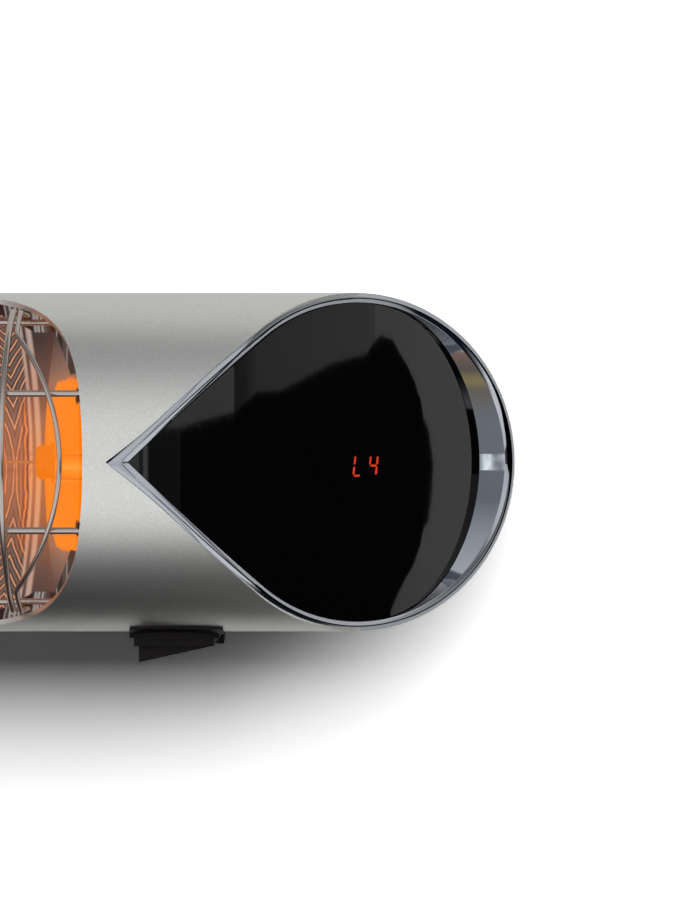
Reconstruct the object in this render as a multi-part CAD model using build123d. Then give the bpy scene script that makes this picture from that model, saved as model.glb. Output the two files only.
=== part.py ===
from build123d import *
from math import asin, atan, cos, degrees, pi, radians, sin, sqrt, tan
import os

# A tube-shaped infrared heater that hangs on a wall by two hinged brackets.
# +X runs along the tube towards the end with the readout, the heat leaves towards -Y,
# the wall is at y = 0 and +Z is up. The origin lies on the wall, amid the four wall screws.
# Everything on the heater itself is drawn about the tube's own axis and set in place at the end.

# ---- Driving dimensions, in mm ----------------------------------------------------------
overall_length = 880.0
tube_radius = 57.5
tube_wall = 1.8
seat_gap = 0.1               # between pieces of one body that seat on each other
running_gap = 0.08           # between the pivot bolt and the arm that turns on it

tube_to_wall = 47.5
axis_above_origin = 10.0

# drop-shaped ends: a mitre that starts tangent to the front and bends back to a flat
drop_angle = radians(46.6)
drop_arc_over_tube = 5.5      # radius of the mitre's front bend over the tube's
rim_depth = 2.0              # bezel flange in front of the cut tube
rim_land = 3.2               # width of the bezel's front edge
panel_recess = 1.2
panel_thickness = 3.0
panel_edge_gap = 0.15
knee_depth = 10.0            # how far behind the axis the panel bends back further
knee_angle = radians(7.0)
knee_radius = 40.0
gasket_thickness = 1.0
ledge_width = 3.6
ledge_thickness = 2.5

# front opening
mouth_arc_radius = 64.0
mouth_edge_depth = 12.0      # edge of the opening in front of the axis
mouth_to_drop = 9.6          # bridge between the opening and the tip of the drop

# reflector and lamp
reflector_sheet = 0.8
reflector_to_tube = 29.5     # vertex of the trough to the back of the tube
reflector_edge_lap = 1.0     # edge of the trough behind the edge of the opening
end_plate_sheet = 1.0
end_plate_lean = 22.0        # how far each end plate leans inwards from front to back
former_thickness = 1.5
former_pitch = 150.0
lamp_radius = 4.5
lamp_wall = 1.0
lamp_to_bulkhead = 21.4
filament_radius = 1.9
filament_inset = 18.0
cap_radius = 7.0
cap_length = 16.0
cap_grip = 6.0

# wire guard
wire_radius = 1.1
guard_inset = 0.5            # hoop's centre line inside the tube's outer radius
bow_inset = 7.0              # end bow inside the opening's end
hoop_count = 9
hoop_to_mouth = 25.818       # outermost hoop to the end of the opening
long_wire_share = 0.381      # height of the long wires over the tube's radius

# bulkheads that close the lamp compartment
bulkhead_to_tip = 4.718
bulkhead_sheet = 1.2
bulkhead_flange = 9.0
grommet_radius = 5.0

# tilting feet and wall brackets
foot_past_tip = 15.882
foot_width = 30.2
foot_front = 12.5
pivot_back = 33.0            # pivot behind the tube axis
pivot_rise = 1.3             # pivot above the level of the tube's underside
foot_eye_radius = 6.6
arm_eye_radius = 6.6
arm_width = 17.0
washer_thickness = 0.8
slot_gap = 0.1
bolt_radius = 2.5
bolt_head_radius = 4.25
bolt_head_height = 3.6
plate_width = 46.0
plate_height = 90.0
plate_thickness = 5.0
wall_hole_radius = 3.25
wall_hole_pitch = 60.0

# ---- Values that follow -----------------------------------------------------------------
half_length = overall_length / 2
drop_arc_radius = tube_radius + drop_arc_over_tube
drop_arc_rise = drop_arc_radius * (1 - cos(drop_angle))
drop_length = drop_arc_radius * sin(drop_angle) + (2 * tube_radius - drop_arc_rise) / tan(drop_angle)
tip_x = half_length - drop_length
tip_half_angle = atan(sqrt(tube_radius / drop_arc_radius))
inner_radius = tube_radius - tube_wall
mouth_centre_y = -mouth_edge_depth - mouth_arc_radius
mouth_reach = sqrt(mouth_arc_radius ** 2 - (mouth_centre_y + tube_radius) ** 2)
mouth_end_x = tip_x - mouth_to_drop
mouth_centre_x = mouth_end_x - mouth_reach
hoop_end_x = mouth_end_x - hoop_to_mouth
bulkhead_x = tip_x - bulkhead_to_tip
lamp_length = 2 * (bulkhead_x - lamp_to_bulkhead)
filament_length = lamp_length - 2 * filament_inset
long_wire_height = long_wire_share * tube_radius
reflector_depth = tube_radius - reflector_to_tube
reflector_edge_depth = mouth_edge_depth - reflector_edge_lap
axis_from_wall = tube_radius + tube_to_wall
foot_x = tip_x + foot_past_tip
pivot_below = tube_radius - pivot_rise
focus_y = reflector_depth - (
    (inner_radius ** 2 - reflector_edge_depth ** 2) / (4 * (reflector_depth + reflector_edge_depth)))
beyond = 3 * tube_radius     # reach of cutting solids past the tube


# ---- Shapes that many pieces share ------------------------------------------------------
def group(pieces):
    """Separate like solids kept in one node"""
    return Compound(children=[each for piece in pieces for each in piece.solids()])


def rod_x(radius, start, end, y=0.0, z=0.0):
    """Cylinder along X between two stations"""
    return Pos((start + end) / 2, y, z) * Rot(0, 90, 0) * Cylinder(radius, end - start)


def rod_y(radius, start, end, x=0.0, z=0.0):
    return Pos(x, (start + end) / 2, z) * Rot(90, 0, 0) * Cylinder(radius, end - start)


def rod_z(radius, bottom, top, x=0.0, y=0.0):
    return Pos(x, y, (bottom + top) / 2) * Cylinder(radius, top - bottom)


def block(x0, x1, y0, y1, z0, z1):
    return Pos((x0 + x1) / 2, (y0 + y1) / 2, (z0 + z1) / 2) * Box(x1 - x0, y1 - y0, z1 - z0)


def left_of(shape):
    """The same piece at the other end of the heater"""
    return mirror(shape, about=Plane.YZ)


def through_z(face):
    return extrude(face, amount=beyond, both=True)


# ---- The drop-shaped end ----------------------------------------------------------------
def drop_region(inset, kneed=False):
    """All that lies in front of the mitre face, moved back into the tube by inset"""
    straight = 4 * tube_radius
    bends = [(drop_arc_radius, drop_angle, straight)]
    if kneed:
        to_knee = (tube_radius - drop_arc_rise + knee_depth) / sin(drop_angle)
        bends = [(drop_arc_radius, drop_angle, to_knee), (knee_radius, knee_angle, straight)]
    start = Vector(tip_x, inset - tube_radius)
    at = start
    heading = 0.0
    edges = []
    for radius, turn, run in bends:
        bend = radius - inset
        centre = at + Vector(-sin(heading), cos(heading)) * bend
        halfway = centre + Vector(sin(heading + turn / 2), -cos(heading + turn / 2)) * bend
        heading += turn
        leave = centre + Vector(sin(heading), -cos(heading)) * bend
        edges.append(ThreePointArc(at, halfway, leave))
        at = leave + Vector(cos(heading), sin(heading)) * run
        edges.append(Line(leave, at))
    right = tip_x + 8 * tube_radius
    front = -4 * tube_radius
    edges.append(Polyline(at, (right, at.Y), (right, front), (tip_x, front), start))
    return through_z(make_face(Curve() + edges))


def drop_reach(depth):
    """How far past the tip the mitre face lies at a depth measured from the axis"""
    rise = depth + tube_radius
    if rise < drop_arc_rise:
        return sqrt(drop_arc_radius ** 2 - (drop_arc_radius - rise) ** 2)
    return drop_arc_radius * sin(drop_angle) + (rise - drop_arc_rise) / tan(drop_angle)


def drop_outline(inset):
    """Prism along Y inside the drop's outline, open towards the far end"""
    scale = (tube_radius - inset) / tube_radius
    shift = tip_x + inset / sin(tip_half_angle)
    steps = 10
    branch = []
    for step in range(steps + 1):
        turn = pi / 2 * step / steps
        reach = shift + scale * drop_reach(-tube_radius * cos(turn))
        branch.append((reach, scale * tube_radius * sin(turn)))
    top = branch[-1]
    high = (top[0], beyond)
    far = (tip_x + 6 * tube_radius, beyond)
    upper = [Spline(*branch), Polyline(top, high, far, (far[0], 0))]
    lower = [mirror(edge, about=Plane.XZ) for edge in upper]
    return extrude(Plane.XZ * make_face(Curve() + upper + lower), amount=beyond, both=True)


def barrel(radius):
    """Prism along X: round behind the axis, open and wider in front of it"""
    section = Circle(radius) + Pos(-beyond / 2, 0) * Rectangle(beyond, 2 * (radius + rim_land))
    return extrude(Plane.YZ * section, amount=2 * half_length)


def drop_slab(inset, thickness, edge):
    """Sheet that follows the panel's own curve inside the bezel"""
    sheet = drop_region(inset + thickness, kneed=True) - drop_region(inset, kneed=True)
    return sheet & drop_outline(edge) & barrel(tube_radius - edge)


rebate_edge = 0.3            # bezel outline inside the exact mitre line
panel_edge = rim_land + panel_edge_gap
ledge_edge = rim_land + ledge_width
gasket_inset = panel_recess + panel_thickness
ledge_inset = gasket_inset + gasket_thickness


def tube_end_cut():
    return drop_region(rim_depth) & drop_outline(rebate_edge)


def bezel():
    """Plated ring: a flange over the cut tube and a spigot inside it with a ledge for the panel"""
    flange = rod_x(tube_radius, tip_x - 1, half_length + 1) & tube_end_cut()
    flange -= drop_region(0)
    spigot = rod_x(inner_radius - seat_gap, tip_x - 1, half_length)
    spigot &= drop_region(ledge_inset + ledge_thickness, kneed=True)
    spigot -= drop_region(rim_depth)
    window = drop_outline(rim_land) & barrel(tube_radius - rim_land)
    window &= drop_region(ledge_inset, kneed=True)
    ledge_hole = drop_outline(ledge_edge) & barrel(tube_radius - ledge_edge)
    ring = flange + spigot - window - ledge_hole
    for hole in bezel_screw_holes(bulkhead_screw_radius + running_gap):
        ring -= hole
    return ring


def panel():
    return drop_slab(panel_recess, panel_thickness, panel_edge)


def panel_gasket():
    hole = drop_outline(ledge_edge) & barrel(tube_radius - ledge_edge)
    return drop_slab(gasket_inset + seat_gap, gasket_thickness - 2 * seat_gap, panel_edge) - hole


# ---- Tube -------------------------------------------------------------------------------
service_from_end = 70.0
service_x = half_length - service_from_end
service_length = 74.0
service_height = 44.0
service_stand = 16.0         # cover's flat face behind the tube
service_wall = 2.5
service_hole_margin = 7.0
foot_screw_radius = 2.5
foot_screw_pitch = 16.0
foot_screw_y = 14.0
bulkhead_screw_radius = 1.5
bulkhead_screw_angle = 40.0
bezel_screw_spread = 26.0
bezel_screw_inset = 9.0      # from the end of the cut tube
small_head_radius = 3.0
small_head_height = 2.0
bulkhead_thread = 3.0        # thread past the bulkhead's flange
spigot_thread = 1.0          # thread in the thin back of the spigot
screw_hole_gap = 0.15


def service_hole():
    half_x = service_length / 2 - service_hole_margin
    half_z = service_height / 2 - service_hole_margin
    return block(service_x - half_x, service_x + half_x, 0, beyond, -half_z, half_z)


def foot_screw_places():
    return [(foot_x + side * foot_screw_pitch / 2, foot_screw_y) for side in (-1, 1)]


def bulkhead_screw_holes(radius):
    """Radial holes at the back, through tube and bulkhead flange"""
    x = bulkhead_x + bulkhead_sheet + bulkhead_flange / 2
    return [Rot(side * bulkhead_screw_angle, 0, 0) * rod_y(radius, tube_radius - 6, tube_radius + 3, x)
            for side in (-1, 1)]


def bezel_screw_x():
    """Station of the screws that pin the spigot at the back of the tube"""
    return half_length - rim_depth / sin(drop_angle) - bezel_screw_inset


def bezel_screw_turns():
    """Angles of the two screws about the tube's axis"""
    turn = degrees(asin(bezel_screw_spread / 2 / tube_radius))
    return (-turn, turn)


def bezel_screw_holes(radius):
    return [Rot(turn, 0, 0) * rod_y(radius, inner_radius - spigot_thread - seat_gap, tube_radius + 3, bezel_screw_x())
            for turn in bezel_screw_turns()]


def mouth():
    """Scoop-shaped opening: a flat cut at the edge depth with a large round at each end"""
    width = 2 * (mouth_centre_x + mouth_arc_radius)
    return through_z(Pos(0, mouth_centre_y) * SlotOverall(width, 2 * mouth_arc_radius))


def tube_housing():
    tube = rod_x(tube_radius, -half_length, half_length)
    tube -= rod_x(inner_radius, -half_length - 1, half_length + 1)
    tube -= mouth()
    cut = tube_end_cut()
    hole = bulkhead_screw_radius + screw_hole_gap
    holes = bulkhead_screw_holes(hole) + bezel_screw_holes(hole)
    for x, y in foot_screw_places():
        holes.append(rod_z(foot_screw_radius + screw_hole_gap, -tube_radius - 3, -tube_radius + 6, x, y))
    tube -= cut
    tube -= left_of(cut)
    for each in holes:
        tube -= each
        tube -= left_of(each)
    for x, z in cover_screw_places():
        tube -= rod_y(cover_screw_radius + screw_hole_gap, 0, beyond, x, z)
    return tube - service_hole()


# ---- Reflector --------------------------------------------------------------------------
reflector_edge_z = sqrt((inner_radius - 0.4) ** 2 - reflector_edge_depth ** 2) - reflector_sheet


def trough_section(grow):
    """Parabola with its vertex behind the axis, closed across the front"""
    edge = reflector_edge_z + grow
    vertex = reflector_depth + grow
    pull = 2 * vertex + reflector_edge_depth
    curve = Bezier((-reflector_edge_depth, -edge), (pull, 0), (-reflector_edge_depth, edge))
    return make_face(Curve() + [curve, Line(curve @ 1, curve @ 0)])


def end_plate_x(depth):
    """Station of the end plate's lamp side at a depth from the axis"""
    front = mouth_end_x - 0.6
    run = reflector_depth + tube_radius
    return front - end_plate_lean * (depth + tube_radius) / run


def inside_end_plates(grow=0.0):
    """Everything between the two leaning end plates"""
    back = 2 * tube_radius
    near = end_plate_x(-back) + grow
    far = end_plate_x(back) + grow
    outline = Polyline((near, -back), (far, back), (-far, back), (-near, -back), close=True)
    return through_z(make_face(outline))


def reflector_trough():
    section = trough_section(reflector_sheet) - trough_section(0)
    trough = extrude(Plane.YZ * section, amount=half_length, both=True)
    return trough & inside_end_plates(-seat_gap / 2)


def reflector_end():
    """Leaning end plate with the lamp's hole and the two guard wires' holes"""
    front = Circle(inner_radius - 0.4)
    front &= Pos(-beyond / 2 - reflector_edge_depth, 0) * Rectangle(beyond, beyond)
    outline = front + trough_section(reflector_sheet)
    plate = extrude(Plane.YZ * outline, amount=half_length)
    plate &= inside_end_plates(end_plate_sheet) - inside_end_plates()
    plate -= rod_x(cap_radius + screw_hole_gap, 0, half_length, focus_y)
    for side in (-1, 1):
        y, z = long_wire_place(side)
        plate -= rod_x(wire_radius + screw_hole_gap, 0, half_length, y, z)
    return plate


def reflector_formers():
    """Sheet ribs that fill the space between the trough and the tube"""
    ring = Circle(inner_radius - seat_gap)
    ring -= Pos(-beyond / 2 - reflector_edge_depth, 0) * Rectangle(beyond, beyond)
    ring -= trough_section(reflector_sheet + seat_gap)
    ring -= Pos(lead_back_y, 0) * Circle(4 * lead_radius)
    thick = former_thickness
    return group([Pos(x, 0, 0) * extrude(Plane.YZ * ring, amount=thick / 2, both=True)
                  for x in (-former_pitch, 0, former_pitch)])


# ---- Lamp -------------------------------------------------------------------------------
cap_start = lamp_length / 2 - cap_grip
cap_bridge = 4.0             # solid part of the cap between the lamp and the lead
cap_chamfer = 0.8
clip_sheet = 1.2
clip_width = 6.0
clip_past_lamp = 3.0
clip_half_depth = 4.0
clip_drop = 9.0              # each upright of the strap


def lamp_quartz_tube():
    half = lamp_length / 2
    return rod_x(lamp_radius, -half, half, focus_y) - rod_x(
        lamp_radius - lamp_wall, -half - 1, half + 1, focus_y)


def lamp_filament():
    half = filament_length / 2
    ribbon = rod_x(filament_radius, -half, half, focus_y)
    for side in (-1, 1):
        ends = sorted((side * half, side * (cap_start + cap_grip)))
        ribbon += rod_x(filament_radius / 2, ends[0], ends[1], focus_y)
    return ribbon


def lamp_end_cap():
    cap = rod_x(cap_radius, cap_start, cap_start + cap_length, focus_y)
    cap -= rod_x(lamp_radius + seat_gap / 2, cap_start - 1, cap_start + cap_grip, focus_y)
    cap -= rod_x(lead_radius + seat_gap / 2, cap_start + cap_grip + cap_bridge, cap_start + cap_length + 1,
                 focus_y)
    return chamfer(cap.faces().sort_by(Axis.X)[0].outer_wire().edges(), cap_chamfer)


def lamp_clip():
    """Bent steel strap that holds the ceramic cap to the bulkhead"""
    start = cap_start + cap_grip + clip_past_lamp
    front = focus_y - clip_half_depth
    back = focus_y + clip_half_depth
    foot_low = -cap_radius - clip_drop
    strap = rod_x(cap_radius + clip_sheet, start, start + clip_width, focus_y)
    strap -= rod_x(cap_radius + seat_gap / 2, start - 1, start + clip_width + 1, focus_y)
    strap += block(start, start + clip_width, front, back, foot_low, -cap_radius - clip_sheet / 2)
    strap += block(start, bulkhead_x, front, back, foot_low - clip_sheet, foot_low)
    strap += block(bulkhead_x - clip_sheet, bulkhead_x, front, back, foot_low - clip_drop, foot_low)
    return strap


# ---- Leads inside -----------------------------------------------------------------------
lead_radius = 1.5
lead_back_y = (reflector_depth + inner_radius) / 2
lead_bend = 6.0
lead_past_bulkhead = 10.0    # where the left lead turns back, past its bulkhead


def cable(points, radii, radius):
    """Insulated wire along straight runs joined by tangent arcs"""
    path = FilletPolyline(*points, radius=radii)
    start = Plane(origin=path @ 0, z_dir=path % 0)
    return sweep(start * Circle(radius), path)


# ---- Wire guard -------------------------------------------------------------------------
hoop_radius = tube_radius - guard_inset
wire_clearance = 0.3
mouth_edge_y = mouth_centre_y + sqrt(
    mouth_arc_radius ** 2 - (hoop_end_x + wire_radius - mouth_centre_x) ** 2)
leg_height = sqrt(inner_radius ** 2 - mouth_edge_y ** 2) - wire_radius - wire_clearance
leg_end_y = 1.5 - reflector_edge_depth
rail_y = leg_end_y - wire_radius
rail_height = leg_height - 2 * wire_radius


def wire(runs):
    """Round wire along joined edges, with a ball at each joint"""
    made = []
    for run in runs:
        start = Plane(origin=run @ 0, z_dir=run % 0)
        made.append(sweep(start * Circle(wire_radius), run))
    for run in runs[1:]:
        made.append(Pos(run @ 0) * Sphere(wire_radius))
    whole = made[0]
    for each in made[1:]:
        whole += each
    return whole


def long_wire_place(side):
    """Depth and height of a long wire, laid against the inside of the hoops"""
    ring = inner_radius - wire_radius - seat_gap
    return -sqrt(ring ** 2 - long_wire_height ** 2), side * long_wire_height


def hoop(x):
    """Arc across the opening with a straight leg into it at each end"""
    turn_y = -sqrt(hoop_radius ** 2 - leg_height ** 2)
    low = (x, leg_end_y, -leg_height)
    bend_low = (x, turn_y, -leg_height)
    bend_high = (x, turn_y, leg_height)
    high = (x, leg_end_y, leg_height)
    arc = ThreePointArc(bend_low, (x, -hoop_radius, 0), bend_high)
    return wire([Line(low, bend_low), arc, Line(bend_high, high)])


def guard_hoops():
    pitch = 2 * hoop_end_x / (hoop_count - 1)
    middle = hoop(0)
    return group([Pos(pitch * step - hoop_end_x, 0, 0) * middle for step in range(hoop_count)])


def end_bow():
    """Wire that follows the round end of the opening at a constant distance"""
    radius = mouth_arc_radius - bow_inset
    start_x = hoop_end_x + 2 * wire_radius + wire_clearance
    start_y = mouth_centre_y + sqrt(radius ** 2 - (start_x - mouth_centre_x) ** 2)
    height = sqrt(hoop_radius ** 2 - start_y ** 2)
    points = []
    steps = 12
    for step in range(steps + 1):
        z = height * sin(pi / 2 * (2 * step / steps - 1))
        y = -sqrt(hoop_radius ** 2 - z ** 2)
        points.append((mouth_centre_x + sqrt(radius ** 2 - (y - mouth_centre_y) ** 2), y, z))
    low, high = points[0], points[-1]
    end_y = rail_y - wire_radius - seat_gap
    start = Line((low[0], end_y, low[2]), low)
    finish = Line(high, (high[0], end_y, high[2]))
    return wire([start, Spline(*points), finish])


def guard_long_wires():
    pair = []
    for side in (-1, 1):
        y, z = long_wire_place(side)
        reach = end_plate_x(y) + end_plate_sheet + 2.5
        pair.append(rod_x(wire_radius, -reach, reach, y, z))
    return group(pair)


def guard_side_rails():
    reach = end_plate_x(rail_y) - 0.6
    return group([rod_x(wire_radius, -reach, reach, rail_y, side * rail_height) for side in (-1, 1)])


# ---- Bulkheads --------------------------------------------------------------------------
def bulkhead():
    """Disc with a part flange at the back, a hole for the lead's grommet and one for the earth tag"""
    end = bulkhead_x + bulkhead_sheet + bulkhead_flange
    disc = rod_x(inner_radius - seat_gap, bulkhead_x, bulkhead_x + bulkhead_sheet)
    flange = rod_x(inner_radius - seat_gap, bulkhead_x, end)
    flange -= rod_x(inner_radius - seat_gap - bulkhead_sheet, bulkhead_x, end + 1)
    flange &= block(bulkhead_x, end, tube_radius / 3, beyond, -beyond, beyond)
    wall = disc + flange
    wall -= rod_x(grommet_radius, bulkhead_x - 1, end, focus_y)
    wall -= rod_x(grommet_radius, bulkhead_x - 1, end, lead_back_y)
    for each in bulkhead_screw_holes(bulkhead_screw_radius + running_gap):
        wall -= each
    return wall


def grommet(y):
    """Rubber ring with a groove that the bulkhead sits in"""
    middle = bulkhead_x + bulkhead_sheet / 2
    lip = 1.5
    half = bulkhead_sheet / 2
    ring = rod_x(grommet_radius + lip, middle - half - lip, middle + half + lip, y)
    ring -= rod_x(grommet_radius + lip + 1, middle - (bulkhead_sheet + seat_gap) / 2,
                  middle + (bulkhead_sheet + seat_gap) / 2, y)
    ring += rod_x(grommet_radius - seat_gap / 2, middle - bulkhead_sheet, middle + bulkhead_sheet, y)
    return ring - rod_x(lead_radius + 2 * seat_gap, middle - 2 * lip - 1, middle + 2 * lip + 1, y)


def lead_grommets():
    right = [grommet(focus_y), grommet(lead_back_y)]
    return group(right + [left_of(each) for each in right])


def pan_screw(radius, length, head_radius, head_height):
    """Screw along +Z with its head's underside at the origin"""
    head = Pos(0, 0, head_height / 2) * Cylinder(head_radius, head_height)
    head = fillet(head.faces().sort_by(Axis.Z)[-1].edges(), head_height * 0.45)
    return head + Pos(0, 0, -length / 2) * Cylinder(radius, length)


def bulkhead_screws():
    x = bulkhead_x + bulkhead_sheet + bulkhead_flange / 2
    screw = pan_screw(bulkhead_screw_radius, tube_wall + bulkhead_sheet + bulkhead_thread, small_head_radius,
                      small_head_height)
    pair = []
    for side in (-1, 1):
        turned = Rot(side * bulkhead_screw_angle, 0, 0) * Pos(x, tube_radius + seat_gap, 0)
        placed = turned * Rot(-90, 0, 0) * screw
        pair += [placed, left_of(placed)]
    return group(pair)


def bezel_screws():
    screw = pan_screw(bulkhead_screw_radius, tube_wall + spigot_thread, small_head_radius, small_head_height)
    pair = []
    for turn in bezel_screw_turns():
        turned = Rot(turn, 0, 0) * Pos(bezel_screw_x(), tube_radius + seat_gap, 0)
        placed = turned * Rot(-90, 0, 0) * screw
        pair += [placed, left_of(placed)]
    return group(pair)


# ---- Behind the panel -------------------------------------------------------------------
board_length = 46.0          # along the slope
board_height = 62.0
board_thickness = 1.6
board_behind_panel = 9.0
module_width = 15.0
module_height = 10.2
module_depth = 6.4
module_drop = 1.4            # readout's centre below the axis
digit_height = 7.62
digit_pitch = 7.4
digit_width = 4.2
digit_lean = 9.0             # degrees
segment_width = 0.75
segment_gap = 0.35
segment_depth = 0.25
display_depth = 1.0          # readout's centre behind the axis, before its own setback
post_radius = 3.0
post_inset = 6.0
peg_radius = 1.5
pin_radius = 0.3
pin_pitch = 2.54
pin_row_offset = 3.8
pins_in_row = 5
receiver_side = 6.0
receiver_drop = 13.0
receiver_setback = 1.2
receiver_dome_radius = 2.4


def slope_plane(inset, depth):
    """Plane on the panel's straight part: x along the slope, y up, z outwards"""
    x = tip_x + drop_reach(depth) - inset / sin(drop_angle)
    return Plane(origin=(x, depth, 0), x_dir=(cos(drop_angle), sin(drop_angle), 0),
                 z_dir=(sin(drop_angle), -cos(drop_angle), 0))


panel_back = slope_plane(gasket_inset, display_depth)


def display_module():
    body = Pos(0, -module_drop, -module_depth / 2 - seat_gap - segment_depth) * Box(
        module_width, module_height, module_depth)
    body = chamfer(body.edges().filter_by(Axis.Z), 0.5)
    return panel_back * body


def segment(length, upright, x, y):
    """One flat bar of a digit with pointed ends"""
    half = length / 2 - segment_gap
    point = segment_width / 2
    outline = [(-half, 0), (point - half, point), (half - point, point), (half, 0), (half - point, -point),
               (point - half, -point)]
    bar = make_face(Polyline(*outline, close=True))
    return Pos(x, y) * (Rot(0, 0, 90) * bar if upright else bar)


def digit(lit):
    """Bars of one seven-bar digit, leaning to the right"""
    half_w = (digit_width - segment_width) / 2
    half_h = (digit_height - segment_width) / 2
    bars = {
        "a": (2 * half_w, False, 0, half_h), "b": (half_h, True, half_w, half_h / 2),
        "c": (half_h, True, half_w, -half_h / 2), "d": (2 * half_w, False, 0, -half_h),
        "e": (half_h, True, -half_w, -half_h / 2), "f": (half_h, True, -half_w, half_h / 2),
        "g": (2 * half_w, False, 0, 0),
    }
    made = []
    for name in lit:
        length, upright, x, y = bars[name]
        lean = tan(radians(digit_lean)) * y
        tilt = Rot(0, 0, -digit_lean) if upright else Rot(0, 0, 0)
        made.append(Pos(x + lean, y) * tilt * segment(length, upright, 0, 0))
    return made


def display_segments():
    """The lit bars of an L and a 4"""
    bars = []
    for place, lit in ((-0.5, "def"), (0.5, "bcfg")):
        for bar in digit(lit):
            flat = Pos(place * digit_pitch, -module_drop, -seat_gap - segment_depth) * bar
            bars.append(panel_back * extrude(flat, amount=segment_depth))
    return group(bars)


def control_board():
    """Circuit board parallel to the panel, with holes for its four posts"""
    depth = -board_behind_panel - board_thickness / 2
    board = Pos(0, 0, depth) * Box(board_length, board_height, board_thickness)
    board = fillet(board.edges().filter_by(Axis.Z), 2)
    for x, y in board_posts():
        board -= Pos(x, y, depth) * Cylinder(peg_radius + seat_gap, board_thickness + 1)
    return panel_back * board


def board_posts():
    x = board_length / 2 - post_inset
    y = board_height / 2 - post_inset
    return [(side * x, up * y) for side in (-1, 1) for up in (-1, 1)]


def board_spacers():
    """Moulded posts between the panel's back and the board, each with a peg through the board"""
    posts = []
    top = -seat_gap
    low = -board_behind_panel
    for x, y in board_posts():
        post = Pos(x, y, (top + low) / 2) * Cylinder(post_radius, top - low)
        post += Pos(x, y, low - board_thickness) * Cylinder(peg_radius, 2 * board_thickness)
        posts.append(panel_back * post - drop_region(gasket_inset + seat_gap, kneed=True))
    return group(posts)


def module_pins():
    """Row of pins that carries the readout module on the board"""
    top = -seat_gap - segment_depth - module_depth
    pins = []
    for row in (-1, 1):
        for step in range(pins_in_row):
            x = (step - (pins_in_row - 1) / 2) * pin_pitch
            pin = Pos(x, row * pin_row_offset - module_drop, (top - board_behind_panel) / 2) * Cylinder(
                pin_radius, top + board_behind_panel)
            pins.append(panel_back * pin)
    return group(pins)


def infrared_receiver():
    """Small dome-fronted block under the readout"""
    top = -receiver_setback
    body = Pos(0, -receiver_drop, (top - board_behind_panel) / 2) * Box(
        receiver_side, receiver_side, top + board_behind_panel)
    body += Pos(0, -receiver_drop, top) * Sphere(receiver_dome_radius)
    return panel_back * (body & Pos(0, 0, -beyond / 2 - seat_gap) * Box(beyond, beyond, beyond))


# ---- Mains side -------------------------------------------------------------------------
power_from_bulkhead = 12.6
power_length = 60.0
power_height = 21.7          # board's underside above the inside of the tube
power_x = (bulkhead_x + power_from_bulkhead, bulkhead_x + power_from_bulkhead + power_length)
power_y = (4.0, 40.0)
power_z = power_height - inner_radius
power_margin = 6.0           # bare end of the board
terminal_inset = 18.0        # block's middle from the board's near end
terminal_x = power_x[0] + terminal_inset
terminal_y = 14.0
terminal_length = 24.0
terminal_width = 14.0
terminal_height = 11.0
well_pitch = 7.5
well_offset = 2.7
well_radius = 2.0
well_height = 6.0            # wells' floor above the board
well_floor = power_z + board_thickness + well_height
rail_width = 4.0
rail_sheet = 1.2
rail_upstand = 5.0
rail_insets = (2.0, 4.0)     # rails' middles from the board's two edges
sink_length = 18.0
sink_inset = 4.0
sink_base = 4.0
sink_height = 20.0
fin_count = 6
fin_thickness = 1.2
cut_out_y = -14.0
cut_out_z = 26.0
can_radius = 8.0
can_depth = 7.0
button_radius = 5.0
button_depth = 11.0
ear_half_width = 14.0
ear_half_height = 4.0
ear_corner = 3.5
tag_length = 7.0
tag_half_height = 3.0
tag_offset = 3.0             # inner face of each tag from the middle
tag_sheet = 1.0


def power_board():
    board = block(*power_x, *power_y, power_z, power_z + board_thickness)
    return fillet(board.edges().filter_by(Axis.Z), 2)


def power_board_rails():
    """Two angle strips that carry the board from the bulkhead"""
    rails = []
    start = bulkhead_x + bulkhead_sheet
    low = power_z - rail_sheet
    half = rail_width / 2
    for y in (power_y[0] + rail_insets[0], power_y[1] - rail_insets[1]):
        rail = block(start, power_x[1] - power_margin, y - half, y + half, low, power_z)
        rail += block(start, start + rail_sheet, y - half, y + half, low, power_z + rail_upstand)
        rails.append(rail)
    return group(rails)


def terminal_block():
    """Porcelain block with three pairs of screw wells"""
    low = power_z + board_thickness
    half_x = terminal_length / 2
    half_y = terminal_width / 2
    body = block(terminal_x - half_x, terminal_x + half_x, terminal_y - half_y, terminal_y + half_y,
                 low, low + terminal_height)
    body = chamfer(body.faces().sort_by(Axis.Z)[-1].edges(), 1)
    for step in (-1, 0, 1):
        for side in (-1, 1):
            body -= rod_z(well_radius, well_floor - 2 * seat_gap, low + terminal_height + 1,
                          terminal_x + step * well_pitch, terminal_y + side * well_offset)
    return body


def triac_heat_sink():
    """Extruded aluminium block with upright fins on the board"""
    low = power_z + board_thickness
    x1 = power_x[1] - power_margin
    x0 = x1 - sink_length
    y0 = power_y[0] + sink_inset
    y1 = power_y[1] - sink_inset
    sink = block(x0, x1, y0, y1, low, low + sink_base)
    for step in range(fin_count):
        x = x0 + (sink_length - fin_thickness) * step / (fin_count - 1)
        sink += block(x, x + fin_thickness, y0, y1, low, low + sink_height)
    return sink


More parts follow.
